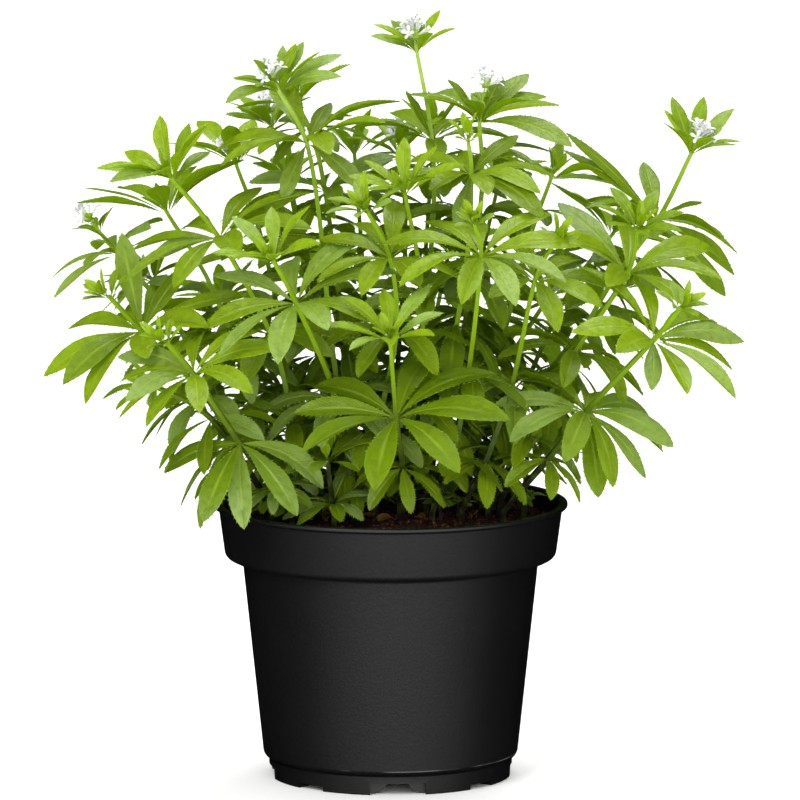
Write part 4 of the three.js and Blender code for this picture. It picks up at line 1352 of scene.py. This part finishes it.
star = floret_shape()
head_tree, given = new_tree("floret_head", [
    ("Floret", "Object", None), ("Finish", "Material", None),
    ("Knob finish", "Material", None), ("Knob radius", "Float", 0.9 * MM),
])
points_in = add_node(head_tree, "GeometryNodeMeshToPoints", {"Mesh": given["Geometry"]})
aim, spin, length = (
    add_node(head_tree, "GeometryNodeInputNamedAttribute", {"Name": name}, "Attribute", data_type=kind)
    for name, kind in (("aim", "FLOAT_VECTOR"), ("spin", "FLOAT_VECTOR"), ("length", "FLOAT"))
)
pose = add_node(head_tree, "FunctionNodeAxesToRotation", {
    "Primary Axis": aim, "Secondary Axis": spin,
}, primary_axis="Z", secondary_axis="X")
shape = add_node(head_tree, "GeometryNodeObjectInfo", {"Object": given["Floret"]}, "Geometry")
stars = add_node(head_tree, "GeometryNodeInstanceOnPoints", {
    "Points": points_in, "Instance": shape, "Rotation": pose, "Scale": length,
})
lower = add_node(head_tree, "GeometryNodeSetPosition", {
    "Geometry": points_in,
    "Offset": add_node(head_tree, "ShaderNodeVectorMath", {0: aim, "Scale": 0.6 * MM}, operation="SCALE"),
})
knobs = add_node(head_tree, "GeometryNodeInstanceOnPoints", {
    "Points": lower,
    "Instance": add_node(head_tree, "GeometryNodeMeshIcoSphere", {
        "Radius": given["Knob radius"], "Subdivisions": 2,
    }),
})
heads = add_node(head_tree, "GeometryNodeJoinGeometry", ([
    realised(head_tree, stars, given["Finish"]), realised(head_tree, knobs, given["Knob finish"]),
],))
add_node(head_tree, "NodeGroupOutput", (heads,), None)

for index, name in enumerate(stems):
    if name not in FLOWERING:
        continue
    draw, own = draws_of(500 + index), draws_of(2500 + index)
    axis = tangent_on(lines[name], 1)
    foot = point_on(lines[name], 1) + axis * HEAD_GAP
    stars = []
    for k in range(4):
        lean = math.radians(draw(54, 64)) if k else 0.0
        aim = leaning(axis, lean, math.radians(120 * k + draw(-12, 12)))
        spin = math.radians(draw(0, 90))
        right, ahead = across_axis(aim)
        across = right * math.cos(spin) + ahead * math.sin(spin)
        stars.append((foot + axis * FLORET_START, aim, across, FLORET_TUBE))
    for k in range(SMALL_FLORETS):
        lean = math.radians(own(2, 32) * (WIDER if name in WIDE_HEADS else 1))
        aim = leaning(axis, lean, math.radians(360 * k / SMALL_FLORETS + own(-15, 15)))
        start = foot + axis * own(0.2, 2.0) + aim * own(0.6, 2.0)
        stars.append((start, aim, across_axis(aim)[0], own(3.4, 4.6)))
    piece = grown(f"floret_head_{name}", star_points(f"head_{name}", stars), head_tree, {
        "Floret": star, "Finish": petal_finish, "Knob finish": stalk_finish,
    })
    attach(piece, "root")
    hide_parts(f"florets_{name}")
bpy.data.objects.remove(star)

# Closed flower buds: a pale cluster in the middle of each tip that isn't in flower yet
BUDS_PER_TIP = 9
BUD_SIZES = (0.9, 1.7)
BUD_KNOB = 0.3
bud_cut = bmesh.new()
bmesh.ops.create_icosphere(bud_cut, subdivisions=1, radius=0.5)
bmesh.ops.scale(bud_cut, vec=(0.72, 0.72, 1.15), verts=bud_cut.verts)
bud_mesh = to_mesh("bud_shape", bud_cut)
store(bud_mesh, "depth", [0.25 + 0.5 * (v.co.z > 0) for v in bud_mesh.vertices])
bud = to_object("bud_shape", bud_mesh)
buds = []
draw = draws_of(3100)
for name, line in lines.items():
    if name in FLOWERING:
        continue
    axis = tangent_on(line, 1)
    for k in range(BUDS_PER_TIP):
        aim = leaning(axis, math.radians(draw(0, 62)), math.radians(137.5 * k + draw(-10, 10)))
        start = point_on(line, 1) + axis * 1.2 + aim * draw(0.9, 1.5)
        buds.append((start, aim, across_axis(aim)[0], draw(*BUD_SIZES)))
piece = grown("flower_buds", star_points("bud_points", buds), head_tree, {
    "Floret": bud, "Finish": petal_finish, "Knob finish": stalk_finish, "Knob radius": BUD_KNOB * MM,
})
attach(piece, "root")
bpy.data.objects.remove(bud)
